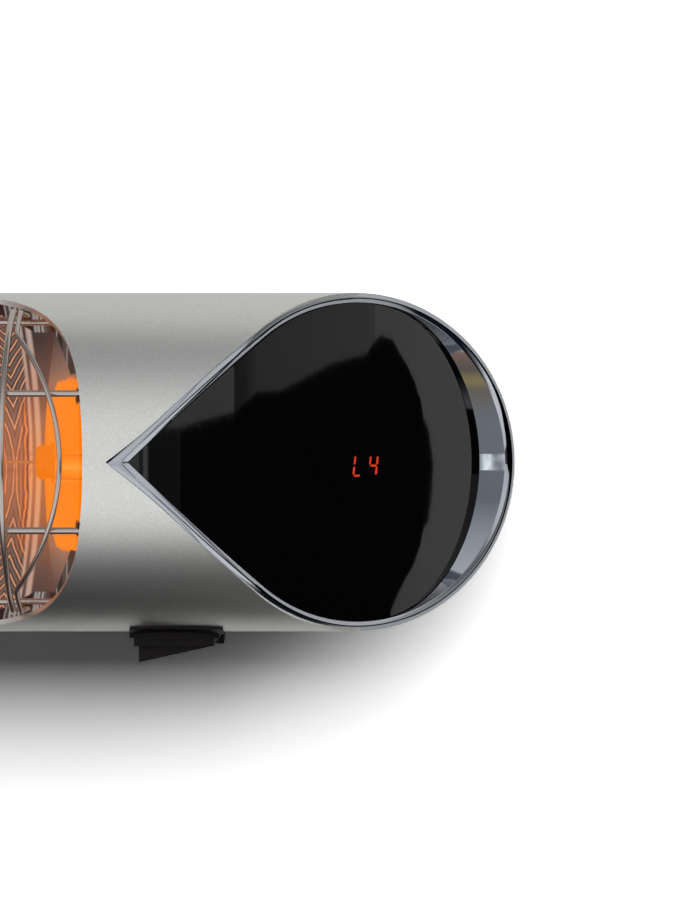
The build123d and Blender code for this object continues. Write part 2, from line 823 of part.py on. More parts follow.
def thermal_cut_out():
    """Flanged button thermostat on the bulkhead"""
    x = bulkhead_x + bulkhead_sheet + seat_gap
    back = x + button_depth
    body = rod_x(can_radius, x, x + can_depth, cut_out_y, cut_out_z)
    body += rod_x(button_radius, x, back, cut_out_y, cut_out_z)
    ears = block(x, x + tag_sheet, cut_out_y - ear_half_width, cut_out_y + ear_half_width,
                 cut_out_z - ear_half_height, cut_out_z + ear_half_height)
    body += fillet(ears.edges().filter_by(Axis.X), ear_corner)
    for side in (-1, 1):
        near, far = sorted((cut_out_y + side * tag_offset, cut_out_y + side * (tag_offset + tag_sheet)))
        body += block(back, back + tag_length, near, far, cut_out_z - tag_half_height,
                      cut_out_z + tag_half_height)
    return body


def lamp_lead_right():
    out = cap_start + cap_grip + cap_bridge
    x = terminal_x - well_pitch
    points = [(out, focus_y, 0), (x, focus_y, 0), (x, terminal_y - well_offset, well_floor)]
    return cable(points, [lead_bend], lead_radius)


def lamp_lead_left():
    out = -cap_start - cap_grip - cap_bridge
    turn = -bulkhead_x - lead_past_bulkhead
    end_x = terminal_x + well_pitch
    points = [(out, focus_y, 0), (turn, focus_y, 0), (turn, lead_back_y, 0), (end_x, lead_back_y, 0),
              (end_x, terminal_y + well_offset, -lead_bend), (end_x, terminal_y + well_offset, well_floor)]
    return cable(points, [lead_bend] * 4, lead_radius)


# ---- Service cover at the back ----------------------------------------------------------
service_corner = 6.0
service_edge_round = 1.5
gland_offset = 18.0          # from the cover's middle towards the heater's end
gland_behind_tube = 7.0
gland_x = service_x + gland_offset
gland_y = tube_radius + gland_behind_tube
gland_hole_radius = 6.0
gland_hex_corner = 8.0
gland_collar = 5.0
gland_stem_past_wall = 5.0
gland_cap_radius = 7.2
gland_cap_height = 11.0
gland_grip_height = 6.0
gland_dome_round = 3.0
lock_nut_corner = 7.3
lock_nut_height = 3.5
rocker_offset = 16.0
rocker_x = service_x - rocker_offset
rocker_hole = (19.2, 12.9)   # along X and Z
rocker_flange = (21.0, 15.0)
rocker_swing = 22.0
rocker_depth = 12.0
cover_screw_radius = 1.5
cover_screw_inset = 4.5
cover_screw_past_stand = 8.0
cover_head_radius = 2.8
cover_head_height = 1.8
seal_thickness = 1.5
cord_bore_radius = 3.6
seal_outer_radius = 4.9
rocker_well = (8.4, 5.2)     # half sizes of the frame's well
rocker_floor = 2.0
rocker_rim = 1.8
rocker_rim_corner = 1.5
rocker_pin_radius = 1.2
rocker_pin_seat = 0.55       # how far each end of the pin reaches into the frame
rocker_pivot_depth = 3.5
rocker_pivot_y = tube_radius + service_stand - rocker_pivot_depth
rocker_cap_half = (6.9, 4.7)
rocker_skirt = 1.5
rocker_keel = 4.0
rocker_crown = 5.2
supply_depth = 11.5          # leads inside the tube's outer face
supply_y = 30.0
switch_turn = (12.0, 10.0)   # last bend from the terminal block, along X and Z
inlet_turn = (15.0, 4.0)
switch_drop = 4.0            # height at which the switch's lead turns down
switch_tab_offset = 3.0


def service_body(shrink, back):
    """Block with rounded corners behind the tube, smaller all round by shrink"""
    face = RectangleRounded(service_length - 2 * shrink, service_height - 2 * shrink,
                             service_corner - shrink / 2)
    return extrude(Pos(service_x, 0, 0) * Rot(-90, 0, 0) * face, amount=back)


def cover_screw_places():
    x = service_length / 2 - cover_screw_inset
    z = service_height / 2 - cover_screw_inset
    return [(service_x + side * x, up * z) for side in (-1, 1) for up in (-1, 1)]


def service_cover():
    """Moulded cover: flat back, hollow inside, seated on its rubber seal round the tube's opening"""
    back = tube_radius + service_stand
    cover = service_body(0, back)
    cover = fillet(cover.faces().sort_by(Axis.Y)[-1].edges(), service_edge_round)
    hollow = service_body(service_hole_margin, back - service_wall)
    cover -= hollow
    on_seal = tube_radius + seal_thickness + seat_gap
    cover -= rod_x(on_seal, service_x - service_length, service_x + service_length)
    cover -= block(rocker_x - rocker_hole[0] / 2, rocker_x + rocker_hole[0] / 2, 0, beyond,
                   -rocker_hole[1] / 2, rocker_hole[1] / 2)
    cover -= rod_z(gland_hole_radius + screw_hole_gap, -service_height, 0, gland_x, gland_y)
    for x, z in cover_screw_places():
        cover -= rod_y(cover_screw_radius + screw_hole_gap, 0, beyond, x, z)
    return cover


def service_seal():
    """Flat rubber frame bent round the tube"""
    frame = service_body(0.5, tube_radius + service_stand) - service_body(service_hole_margin, beyond)
    outer = rod_x(tube_radius + seal_thickness, service_x - service_length, service_x + service_length)
    inner = rod_x(tube_radius + seat_gap, service_x - service_length - 1, service_x + service_length + 1)
    frame &= outer - inner
    frame &= block(service_x - service_length, service_x + service_length, 0, beyond, -beyond, beyond)
    for x, z in cover_screw_places():
        frame -= rod_y(cover_screw_radius + screw_hole_gap, 0, beyond, x, z)
    return frame


def cover_screws():
    screw = pan_screw(cover_screw_radius, service_stand + cover_screw_past_stand, cover_head_radius,
                      cover_head_height)
    back = tube_radius + service_stand + seat_gap
    return group([Pos(x, back, z) * Rot(-90, 0, 0) * screw for x, z in cover_screw_places()])


gland_cap_top = -service_height / 2 - gland_collar - 2 * seat_gap
gland_seal_inset = 0.5


def gland_body():
    """Threaded stem through the cover's underside with a six-sided collar"""
    wall_low = -service_height / 2
    stem = rod_z(gland_hole_radius - seat_gap, wall_low - gland_collar + 1,
                 wall_low + service_hole_margin + gland_stem_past_wall, gland_x, gland_y)
    collar_low = Pos(gland_x, gland_y, wall_low - gland_collar - seat_gap)
    collar = extrude(collar_low * RegularPolygon(gland_hex_corner, 6), amount=gland_collar)
    return stem + collar - rod_z(cord_bore_radius, -2 * service_height, 0, gland_x, gland_y)


def gland_cap():
    """Dome nut that squeezes the seal round a cord"""
    top = gland_cap_top
    cap = rod_z(gland_cap_radius, top - gland_cap_height, top, gland_x, gland_y)
    cap = fillet(cap.faces().sort_by(Axis.Z)[0].edges(), gland_dome_round)
    grip_low = Pos(gland_x, gland_y, top - gland_grip_height)
    grip = extrude(grip_low * RegularPolygon(gland_hex_corner, 6), amount=gland_grip_height)
    bore = rod_z(seal_outer_radius + seat_gap / 2, top - gland_cap_height - 1, top + 1, gland_x, gland_y)
    return cap + grip - bore


def gland_seal():
    low = gland_cap_top - gland_cap_height
    sleeve = rod_z(seal_outer_radius, low + gland_seal_inset, gland_cap_top - 2 * seat_gap, gland_x, gland_y)
    return sleeve - rod_z(cord_bore_radius, low - 1, gland_cap_top + 1, gland_x, gland_y)


def lock_nut():
    low = -service_height / 2 + service_hole_margin + seat_gap
    nut = extrude(Pos(gland_x, gland_y, low) * RegularPolygon(lock_nut_corner, 6), amount=lock_nut_height)
    return nut - rod_z(gland_hole_radius, low - 1, low + lock_nut_height + 1, gland_x, gland_y)


def rocker_frame():
    """Snap-in housing of the mains switch"""
    back = tube_radius + service_stand
    tub = block(rocker_x - rocker_hole[0] / 2 + seat_gap, rocker_x + rocker_hole[0] / 2 - seat_gap,
                back - rocker_depth, back + 1, seat_gap - rocker_hole[1] / 2, rocker_hole[1] / 2 - seat_gap)
    on_cover = Pos(rocker_x, back + seat_gap, 0) * Rot(-90, 0, 0)
    rim = extrude(on_cover * RectangleRounded(*rocker_flange, rocker_rim_corner), amount=rocker_rim)
    well = block(rocker_x - rocker_well[0], rocker_x + rocker_well[0], back - rocker_depth + rocker_floor,
                 back + 4 * rocker_rim, -rocker_well[1], rocker_well[1])
    frame = tub + rim - well
    return frame - rod_z(rocker_pin_radius + running_gap, -rocker_flange[1], rocker_flange[1], rocker_x,
                         rocker_pivot_y)


def rocker_cap():
    """Rocker with two shallow concave faces that meet at a low ridge over its pin"""
    half = radians(rocker_swing / 2)
    x, z = rocker_cap_half
    side = rocker_crown + x * tan(half)
    outline = [(-x, -rocker_skirt), (0, -rocker_keel), (x, -rocker_skirt), (x, side), (0, rocker_crown),
               (-x, side)]
    face = make_face(Polyline(*outline, close=True))
    cap = extrude(face, amount=z, both=True)
    pin = Cylinder(rocker_pin_radius, 2 * (rocker_well[1] + rocker_pin_seat))
    return Pos(rocker_x, rocker_pivot_y, 0) * Rot(0, 0, -rocker_swing / 2) * (cap + pin)


def supply_leads():
    """From the switch and the gland to the terminal block"""
    well_y = terminal_y + well_offset
    tab_x = rocker_x - switch_tab_offset
    tab_y = tube_radius + service_stand - rocker_depth - seat_gap
    tube_y = tube_radius - supply_depth
    switch = [(tab_x, tab_y, 0), (tab_x, tube_y, 0), (terminal_x + switch_turn[0], supply_y, switch_turn[1]),
              (terminal_x, well_y, switch_drop), (terminal_x, well_y, well_floor)]
    inlet_z = -service_height / 2 + service_hole_margin + gland_stem_past_wall
    end_x = terminal_x - well_pitch
    inlet = [(gland_x, gland_y, inlet_z), (gland_x, gland_y, 0), (gland_x, tube_y, 0),
             (terminal_x + inlet_turn[0], supply_y, inlet_turn[1]), (end_x, well_y, 0),
             (end_x, well_y, well_floor)]
    bends = [lead_bend] * 4
    return group([cable(switch, bends[:3], lead_radius), cable(inlet, bends, lead_radius)])


# ---- Tilting feet -----------------------------------------------------------------------
ridge_drops = (1.8, 4.5, 9.9)     # ridges' undersides below the tube
ridge_bottoms = tuple(-tube_radius - drop for drop in ridge_drops)
foot_screw_cover = 1.9       # metal left under the screw
foot_screw_end = ridge_bottoms[1] + foot_screw_cover
foot_screw_head = 4.2
foot_head_height = 2.4
nut_corner = 4.62
nut_fit = 0.2                # round the nut and the bolt's head in their pockets
socket_corner = 2.3
socket_floor = 1.4
ridge_half_widths = (15.1, 13.4, 11.8)
ridge_step = 1.5
nose_arc_radius = 30.0
slot_half = arm_width / 2 + washer_thickness + 2 * slot_gap
slot_start = pivot_back - arm_eye_radius - 2
ridge_back = slot_start      # the ridges run back to the cheeks


def foot():
    """Cradle under the tube: a ridged nose in front and two cheeks that hold the pivot bolt"""
    front = -foot_front
    eye_low = -pivot_below - foot_eye_radius
    nose = [(front, -tube_radius / 2), (front, ridge_bottoms[0])]
    for step in (1, 2):
        nose.append((front + step * ridge_step, ridge_bottoms[step - 1]))
        nose.append((front + step * ridge_step, ridge_bottoms[step]))
    heel = pivot_back + foot_eye_radius
    outline = nose + [(pivot_back, eye_low), (heel, -pivot_below), (heel, -tube_radius / 2)]
    side = make_face(Polyline(*outline, close=True))
    side -= Pos(heel, eye_low) * Rectangle(2 * foot_eye_radius, 2 * foot_eye_radius)
    side += Pos(pivot_back, -pivot_below) * Circle(foot_eye_radius)
    body = extrude(Plane.YZ * side, amount=foot_width / 2, both=True)
    plan = Pos(0, nose_arc_radius - foot_front) * Circle(nose_arc_radius) + Pos(0, beyond / 2) * Rectangle(
        foot_width, beyond)
    body &= through_z(plan)
    body -= rod_x(tube_radius + seat_gap, -foot_width, foot_width)
    body -= block(-slot_half, slot_half, slot_start, beyond, -beyond, 0)
    for level, half in zip(ridge_bottoms, ridge_half_widths[1:]):
        for side_sign in (-1, 1):
            outer = sorted((side_sign * half, side_sign * foot_width))
            body -= block(*outer, -beyond, ridge_back, -beyond, level)
    lift = ridge_bottoms[2] - ridge_bottoms[1]
    wedge = make_face(Polyline((-ridge_half_widths[2], ridge_bottoms[2]), (ridge_half_widths[2] + 1,
                      ridge_bottoms[1]), (ridge_half_widths[2] + 1, ridge_bottoms[2] + lift),
                      (-ridge_half_widths[2], ridge_bottoms[2] + lift), close=True))
    wedge = extrude(Plane.XZ * wedge, amount=2 * foot_front, both=True)
    body -= wedge & block(-foot_width, foot_width, -beyond, ridge_back, -beyond, 0)
    for x, y in foot_screw_places():
        body -= rod_z(foot_screw_radius + running_gap, foot_screw_end - 0.5, 0, x - foot_x, y)
    body -= rod_x(bolt_radius + running_gap, -foot_width, foot_width, pivot_back, -pivot_below)
    pocket = foot_width / 2 - bolt_head_height - nut_fit
    body -= rod_x(bolt_head_radius + nut_fit, pocket, foot_width, pivot_back, -pivot_below)
    body -= Pos(-foot_width / 2, pivot_back, -pivot_below) * nut_blank(bolt_head_height + nut_fit, nut_fit)
    return Pos(foot_x, 0, 0) * body


def nut_blank(depth, gap):
    """Six-sided prism along +X from the origin"""
    return extrude(Plane.YZ * RegularPolygon(nut_corner + gap, 6), amount=depth)


def foot_screws():
    """Countersunk from inside the tube into the nose"""
    made = []
    for x, y in foot_screw_places():
        seat = -sqrt(inner_radius ** 2 - (y + foot_screw_head) ** 2) + seat_gap
        head = Pos(x, y, seat + foot_head_height / 2) * Cylinder(foot_screw_head, foot_head_height)
        head = fillet(head.faces().sort_by(Axis.Z)[-1].edges(), 1)
        screw = head + rod_z(foot_screw_radius, foot_screw_end, seat + 1, x, y)
        made += [screw, left_of(screw)]
    return group(made)


def pivot_bolt():
    head_low = foot_width / 2 - bolt_head_height - nut_fit / 2
    end = 2 * nut_fit - foot_width / 2
    bolt = rod_x(bolt_head_radius, head_low, head_low + bolt_head_height, pivot_back, -pivot_below)
    bolt = chamfer(bolt.faces().sort_by(Axis.X)[-1].edges(), 0.4)
    bolt += rod_x(bolt_radius, end, head_low, pivot_back, -pivot_below)
    socket = extrude(Plane.YZ * RegularPolygon(socket_corner, 6), amount=bolt_head_height)
    socket = Pos(head_low + socket_floor, pivot_back, -pivot_below) * socket
    return Pos(foot_x, 0, 0) * (bolt - socket)


def pivot_nut():
    nut = Pos(nut_fit / 2 - foot_width / 2, pivot_back, -pivot_below) * nut_blank(bolt_head_height, 0)
    nut -= rod_x(bolt_radius + seat_gap / 2, -foot_width, 0, pivot_back, -pivot_below)
    return Pos(foot_x, 0, 0) * nut


def friction_washers():
    made = []
    for side in (-1, 1):
        start = arm_width / 2 + slot_gap
        near, far = sorted((side * start, side * (start + washer_thickness)))
        ring = rod_x(arm_eye_radius - 0.6, near, far, pivot_back, -pivot_below)
        ring -= rod_x(bolt_radius + seat_gap, near - 1, far + 1, pivot_back, -pivot_below)
        ring = Pos(foot_x, 0, 0) * ring
        made += [ring, left_of(ring)]
    return group(made)


# ---- Wall brackets, drawn from the wall -------------------------------------------------
arm_thickness = 14.0
arm_pocket = 4.5
arm_flange = 4.5
arm_top = -8.0
arm_root_lap = 1.0           # arm set into the plate
arm_low_edge = 4.0           # arm's foot above the plate's lower end
plate_corner = 8.0
plate_edge_round = 1.5
pocket_past_eye = 17.0
pocket_half_height = 2.0
pivot_y = pivot_back - axis_from_wall
pivot_z = axis_above_origin - pivot_below


def wall_bracket():
    """Cast plate with an I-shaped arm that ends in the pivot eye"""
    face = Plane.XZ * RectangleRounded(plate_width, plate_height, plate_corner)
    plate = extrude(face, amount=plate_thickness)
    plate = fillet(plate.faces().sort_by(Axis.Y)[0].edges(), plate_edge_round)
    for side in (-1, 1):
        plate -= rod_y(wall_hole_radius, -plate_thickness - 1, 1, 0, side * wall_hole_pitch / 2)
    root = arm_root_lap - plate_thickness
    foot_of_arm = arm_low_edge - plate_height / 2
    outline = [(root, arm_top), (pivot_y + 3, pivot_z + arm_eye_radius - 0.6), (pivot_y - 2, pivot_z),
               (pivot_y, pivot_z - arm_eye_radius), (root, foot_of_arm)]
    side = make_face(Polyline(*outline, close=True))
    arm = extrude(Plane.YZ * side, amount=arm_thickness / 2, both=True)
    near_eye = pivot_y + pocket_past_eye
    inner = [(root - arm_flange, arm_top - 1.6 * arm_flange), (near_eye, pivot_z + 0.2 + pocket_half_height),
             (near_eye, pivot_z + 0.2 - pocket_half_height), (root - arm_flange, foot_of_arm + arm_flange)]
    pocket = extrude(Plane.YZ * make_face(Polyline(*inner, close=True)), amount=arm_pocket)
    arm -= Pos(arm_thickness / 2 - arm_pocket, 0, 0) * pocket
    arm -= Pos(-arm_thickness / 2, 0, 0) * pocket
    eye = rod_x(arm_eye_radius, -arm_width / 2, arm_width / 2, pivot_y, pivot_z)
    cast = plate + arm + eye
    cast -= rod_x(bolt_radius + running_gap, -arm_width, arm_width, pivot_y, pivot_z)
    return Pos(foot_x, 0, 0) * cast


# ---- Setting everything in place --------------------------------------------------------
def both(right):
    """A right-hand piece and its mirror image in one node"""
    return group([right, left_of(right)])


on_heater = {
    "tube_housing": tube_housing(),
    "reflector_trough": reflector_trough(),
    "reflector_end_right": reflector_end(),
    "reflector_end_left": left_of(reflector_end()),
    "reflector_formers": reflector_formers(),
    "lamp_quartz_tube": lamp_quartz_tube(),
    "lamp_filament": lamp_filament(),
    "lamp_end_caps": both(lamp_end_cap()),
    "lamp_clips": both(lamp_clip()),
    "lamp_lead_right": lamp_lead_right(),
    "lamp_lead_left": lamp_lead_left(),
    "guard_hoops": guard_hoops(),
    "guard_long_wires": guard_long_wires(),
    "guard_end_bows": both(end_bow()),
    "guard_side_rails": guard_side_rails(),
    "bulkhead_right": bulkhead(),
    "bulkhead_left": left_of(bulkhead()),
    "bulkhead_screws": bulkhead_screws(),
    "lead_grommets": lead_grommets(),
    "display_bezel": bezel(),
    "display_panel": panel(),
    "display_gasket": panel_gasket(),
    "display_module": display_module(),
    "display_segments": display_segments(),
    "module_pins": module_pins(),
    "control_board": control_board(),
    "board_spacers": board_spacers(),
    "infrared_receiver": infrared_receiver(),
    "blank_bezel": left_of(bezel()),
    "blank_panel": left_of(panel()),
    "blank_gasket": left_of(panel_gasket()),
    "bezel_screws": bezel_screws(),
    "power_board": power_board(),
    "power_board_rails": power_board_rails(),
    "triac_heat_sink": triac_heat_sink(),
    "terminal_block": terminal_block(),
    "thermal_cut_out": thermal_cut_out(),
    "service_cover": service_cover(),
    "service_seal": service_seal(),
    "cover_screws": cover_screws(),
    "gland_body": gland_body(),
    "gland_cap": gland_cap(),
    "gland_seal": gland_seal(),
    "gland_lock_nut": lock_nut(),
    "rocker_frame": rocker_frame(),
    "rocker_cap": rocker_cap(),
    "supply_leads": supply_leads(),
    "foot_right": foot(),
    "foot_left": left_of(foot()),
    "foot_screws": foot_screws(),
    "pivot_bolts": both(pivot_bolt()),
    "pivot_nuts": both(pivot_nut()),
    "friction_washers": friction_washers(),
}

on_wall = {
    "wall_bracket_right": wall_bracket(),
    "wall_bracket_left": left_of(wall_bracket()),
}

os.makedirs("parts", exist_ok=True)
for node, shape in on_heater.items():
    export_step(Pos(0, -axis_from_wall, axis_above_origin) * shape, f"parts/{node}.step")
for node, shape in on_wall.items():
    export_step(shape, f"parts/{node}.step")
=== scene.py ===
from math import asin, atan, cos, pi, radians, sin, sqrt, tan

import bmesh
import bpy
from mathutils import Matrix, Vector


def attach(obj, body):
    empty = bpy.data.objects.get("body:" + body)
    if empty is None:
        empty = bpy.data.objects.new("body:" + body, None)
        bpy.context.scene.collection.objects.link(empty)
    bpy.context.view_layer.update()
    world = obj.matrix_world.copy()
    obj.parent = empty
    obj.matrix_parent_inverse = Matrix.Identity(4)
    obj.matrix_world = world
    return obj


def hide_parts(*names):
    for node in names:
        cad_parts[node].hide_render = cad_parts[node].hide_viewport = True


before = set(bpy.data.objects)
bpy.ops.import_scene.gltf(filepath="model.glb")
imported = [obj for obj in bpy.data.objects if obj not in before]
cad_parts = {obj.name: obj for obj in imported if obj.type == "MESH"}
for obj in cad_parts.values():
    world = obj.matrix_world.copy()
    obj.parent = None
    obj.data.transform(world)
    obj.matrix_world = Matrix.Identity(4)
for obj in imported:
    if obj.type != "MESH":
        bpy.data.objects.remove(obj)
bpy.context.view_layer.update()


# ---- Camera ------------------------------------------------------------------------------
# It stands square to the wall, in front of the end with the readout, 80 cm from the tube's
# axis, so that the tube runs out of the picture on the left.
lens_data = bpy.data.cameras.new("camera")
lens_data.sensor_fit = "VERTICAL"
lens_data.sensor_height = 24.0
lens_data.lens = 61.68
camera = bpy.data.objects.new("camera", lens_data)
camera.location = (0.3776, -0.910, 0.0107)
camera.rotation_euler = (pi / 2, 0, 0)
bpy.context.collection.objects.link(camera)
bpy.context.scene.camera = camera
bpy.context.scene.view_settings.view_transform = "Standard"


# ---- Wall and studio -----------------------------------------------------------------------
# A plain white wall behind the brackets takes the shadow, a broad softbox hangs in front and
# above, and cards outside the picture stand at the end and below for the gloss to mirror.
axis_y, axis_z = -0.105, 0.010
wall_face = 0.0004
wall_left, wall_right, wall_high = -3, 9, 3


def srgb(code):
    """Linear colour of a hex code"""
    parts = [int(code[i:i + 2], 16) / 255 for i in (1, 3, 5)]
    return [v / 12.92 if v <= 0.04045 else ((v + 0.055) / 1.055) ** 2.4 for v in parts] + [1.0]


def add(tree, kind, inputs=None, stops=(), **settings):
    """One node: values go on its own sockets, a node or a socket is linked, stops set its ramp"""
    made = tree.nodes.new(kind)
    for name, value in settings.items():
        setattr(made, name, value)
    for name, value in (inputs or {}).items():
        if isinstance(value, bpy.types.Node):
            value = value.outputs[0]
        if isinstance(value, bpy.types.NodeSocket):
            tree.links.new(value, made.inputs[name])
        else:
            made.inputs[name].default_value = value
    if stops:
        elements = made.color_ramp.elements
        while len(elements) < len(stops):
            elements.new(0.5)
        for element, (place, colour) in zip(elements, stops):
            element.position = place
            element.color = srgb(colour) if isinstance(colour, str) else colour
    return made


def blank_material(name):
    material = bpy.data.materials.new(name)
    material.use_nodes = True
    material.node_tree.nodes.clear()
    return material, material.node_tree


def put(name, mesh):
    """A mesh as an object in the scene"""
    made = bpy.data.objects.new(name, mesh)
    bpy.context.collection.objects.link(made)
    return made


def card(name, corners, material):
    """A flat piece of the studio with any number of corners"""
    mesh = bpy.data.meshes.new(name)
    mesh.from_pydata(corners, [], [tuple(range(len(corners)))])
    mesh.materials.append(material)
    made = put(name, mesh)
    return made


def reflected_only(piece):
    """Keeps a card out of everything but the gloss on the heater"""
    piece.visible_camera = False
    piece.visible_diffuse = False
    piece.visible_shadow = False


# White wall paint: matt and faintly uneven. The camera sees it as plain white, gloss sees it half
# as bright so that no metal clips, and other light finds a grey that adds no light.
wall_paint, tree = blank_material("white_wall_paint")
ray = add(tree, "ShaderNodeLightPath")
seen = add(tree, "ShaderNodeMath", {0: ray.outputs["Is Camera Ray"], 1: ray.outputs["Is Transmission Ray"]},
           operation="MAXIMUM")
direct = add(tree, "ShaderNodeMath", {0: ray.outputs["Diffuse Depth"], 1: 0.5}, operation="LESS_THAN")
mirrored = add(tree, "ShaderNodeMath", {0: ray.outputs["Is Glossy Ray"], 1: direct}, operation="MULTIPLY")
base = add(tree, "ShaderNodeMapRange", {0: mirrored, 3: 0.22, 4: 1.0})
white = add(tree, "ShaderNodeMath", {0: seen, 1: 1.9, 2: base}, operation="MULTIPLY_ADD")
tint = add(tree, "ShaderNodeCombineColor", {0: white, 1: white, 2: white})
grain = add(tree, "ShaderNodeTexNoise", {"Scale": 400.0, "Detail": 3.0})
tooth = add(tree, "ShaderNodeMapRange", {0: grain, 3: 0.0, 4: 0.1})
coat = add(tree, "ShaderNodeBsdfDiffuse", {"Color": tint, "Roughness": tooth})
see_through = add(tree, "ShaderNodeBsdfTransparent")
side = add(tree, "ShaderNodeNewGeometry")
mixed = add(tree, "ShaderNodeMixShader", {0: side.outputs["Backfacing"], 1: coat, 2: see_through})
add(tree, "ShaderNodeOutputMaterial", {"Surface": mixed})
card("wall", [(wall_left, wall_face, -wall_high), (wall_right, wall_face, -wall_high),
              (wall_right, wall_face, wall_high), (wall_left, wall_face, wall_high)], wall_paint)

# Black and dark grey card: the panel and the plated rings mirror them as dark, clean-edged shapes.
dark_card, tree = blank_material("black_card")
shade = add(tree, "ShaderNodeBsdfDiffuse", {"Color": srgb("#0A0A0C")})
add(tree, "ShaderNodeOutputMaterial", {"Surface": shade})

grey_card, tree = blank_material("dark_grey_card")
shine = add(tree, "ShaderNodeEmission", {"Color": srgb("#FFFFFF"), "Strength": 0.09})
add(tree, "ShaderNodeOutputMaterial", {"Surface": shine})

# The curtains run from the wall round to the front: each post's place and the height of the dark.
posts = [(1.35, -0.004, 0.100), (1.318, -0.068, 0.082), (1.298, -0.107, 0.061), (1.15, -0.40, 0.043),
         (0.90, -0.95, 0.034), (0.60, -1.16, 0.035)]
curtain_low = -0.15
curtain_high = 0.6
grey_curtain_x = 0.8
for number, (near, far) in enumerate(zip(posts, posts[1:])):
    reflected_only(card("dark_curtain_%d" % number, [(near[0], near[1], curtain_low), near, far,
                                                    (far[0], far[1], curtain_low)],
                        grey_card if far[0] < grey_curtain_x else dark_card))

# Flat cards just in front of the wall: a dark bullet with its nose towards the heater, and the
# dark floor on the far side of it.
flat_y = -0.004
bullet_edge = [(1.35, 0.100), (1.131, 0.0928), (0.877, 0.0772), (0.722, 0.0567), (0.670, 0.047),
               (0.637, 0.0375), (0.618, 0.025), (0.611, 0.010), (0.613, -0.004), (0.618, -0.0165),
               (0.640, -0.028), (0.6825, -0.0395), (0.914, -0.0756), (0.99, -0.15), (1.35, -0.15)]
floor_edge = [(-1.2, -0.18), (0.40, -0.18), (0.40, -2.0), (-1.2, -2.0)]
reflected_only(card("dark_bullet", [(x, flat_y, z) for x, z in bullet_edge], dark_card))
reflected_only(card("dark_floor", [(x, flat_y, z) for x, z in floor_edge], dark_card))

# Grey paper bent round the tube's axis: the plated inner wall of the bezel looks straight at it
# and takes its greys, its brown and its yellow from below to above.
ring_reach = 0.75
ring_left, ring_right = 0.437, 0.503
ring_paper, tree = blank_material("grey_ring_card")
spot = add(tree, "ShaderNodeTexCoord")
split = add(tree, "ShaderNodeSeparateXYZ", {0: spot.outputs["Object"]})
up = add(tree, "ShaderNodeMath", {0: split.outputs["Z"], 1: axis_z}, operation="SUBTRACT")
fore = add(tree, "ShaderNodeMath", {0: axis_y, 1: split.outputs["Y"]}, operation="SUBTRACT")
bearing = add(tree, "ShaderNodeMath", {0: up, 1: fore}, operation="ARCTAN2")
share = add(tree, "ShaderNodeMapRange", {0: bearing, 1: -pi, 2: pi, 3: 0.0, 4: 1.0})
tone = add(tree, "ShaderNodeValToRGB", {0: share}, [
    (0.20, "#9C8478"), (0.232, "#FFFFFF"), (0.244, "#A08474"), (0.29, "#7C706A"), (0.318, "#B0A070"),
    (0.34, "#8C8474"), (0.41, "#90939A"), (0.50, "#8C9196"), (0.58, "#868C94"), (0.66, "#BABEC2"),
    (0.74, "#D6D8DC")])
shine = add(tree, "ShaderNodeEmission", {"Color": tone, "Strength": 1.0})
add(tree, "ShaderNodeOutputMaterial", {"Surface": shine})
ring_steps = 40
bends = [radians(-100 + 5 * i) for i in range(ring_steps + 1)]
ring_mesh = bpy.data.meshes.new("grey_ring")
ring_mesh.from_pydata([(x, axis_y - ring_reach * cos(a), axis_z + ring_reach * sin(a))
                       for x in (ring_left, ring_right) for a in bends], [],
                      [(i, i + 1, ring_steps + 2 + i, ring_steps + 1 + i) for i in range(ring_steps)])
ring_mesh.materials.append(ring_paper)
ring = put("grey_ring", ring_mesh)
reflected_only(ring)

# Two narrow white strips make the bright windows in the plated wall.
strip_y, strip_z = -0.85, 0.006
strip_paper, tree = blank_material("white_strip_card")
shine = add(tree, "ShaderNodeEmission", {"Color": srgb("#F6FAFC"), "Strength": 2.2})
add(tree, "ShaderNodeOutputMaterial", {"Surface": shine})
for number, (left, right, half) in enumerate(((0.4746, 0.4802, 0.171), (0.4893, 0.4960, 0.21))):
    reflected_only(card("white_strip_%d" % number,
                        [(left, strip_y, strip_z - half), (right, strip_y, strip_z - half),
                         (right, strip_y, strip_z + half), (left, strip_y, strip_z + half)], strip_paper))

# Dim grey cloth above the first three curtains: brighter towards the wall, as in the panel's face.
haze_paper, tree = blank_material("dim_grey_card")
spot = add(tree, "ShaderNodeTexCoord")
split = add(tree, "ShaderNodeSeparateXYZ", {0: spot.outputs["Object"]})
level = add(tree, "ShaderNodeMapRange", {0: split.outputs["Y"], 1: -0.30, 2: -0.03, 3: 0.20, 4: 0.52})
shine = add(tree, "ShaderNodeEmission", {"Color": srgb("#FFFFFF"), "Strength": level})
add(tree, "ShaderNodeOutputMaterial", {"Surface": shine})
for number, (near, far) in enumerate(zip(posts[:3], posts[1:4])):
    reflected_only(card("dim_curtain_%d" % number, [near, far, (far[0], far[1], curtain_high),
                                                   (near[0], near[1], curtain_high)], haze_paper))

# The softbox lights the front and the top and throws the shadow down the wall. Gloss doesn't see
# it, because the room's window band takes its place there.
key_place, key_aim = Vector((1.25, -1.9, 0.68)), Vector((1.25, 0.0, 0.68))
key_data = bpy.data.lights.new("key_softbox", "AREA")
key_data.shape = "RECTANGLE"
key_data.size = 2.6
key_data.size_y = 0.84
key_data.energy = 38.0
key_data.color = srgb("#FFFFFF")[:3]
key = bpy.data.objects.new("key_softbox", key_data)
key.location = key_place
key.rotation_euler = (key_aim - key_place).to_track_quat("-Z", "Y").to_euler()
key.visible_glossy = False
bpy.context.collection.objects.link(key)

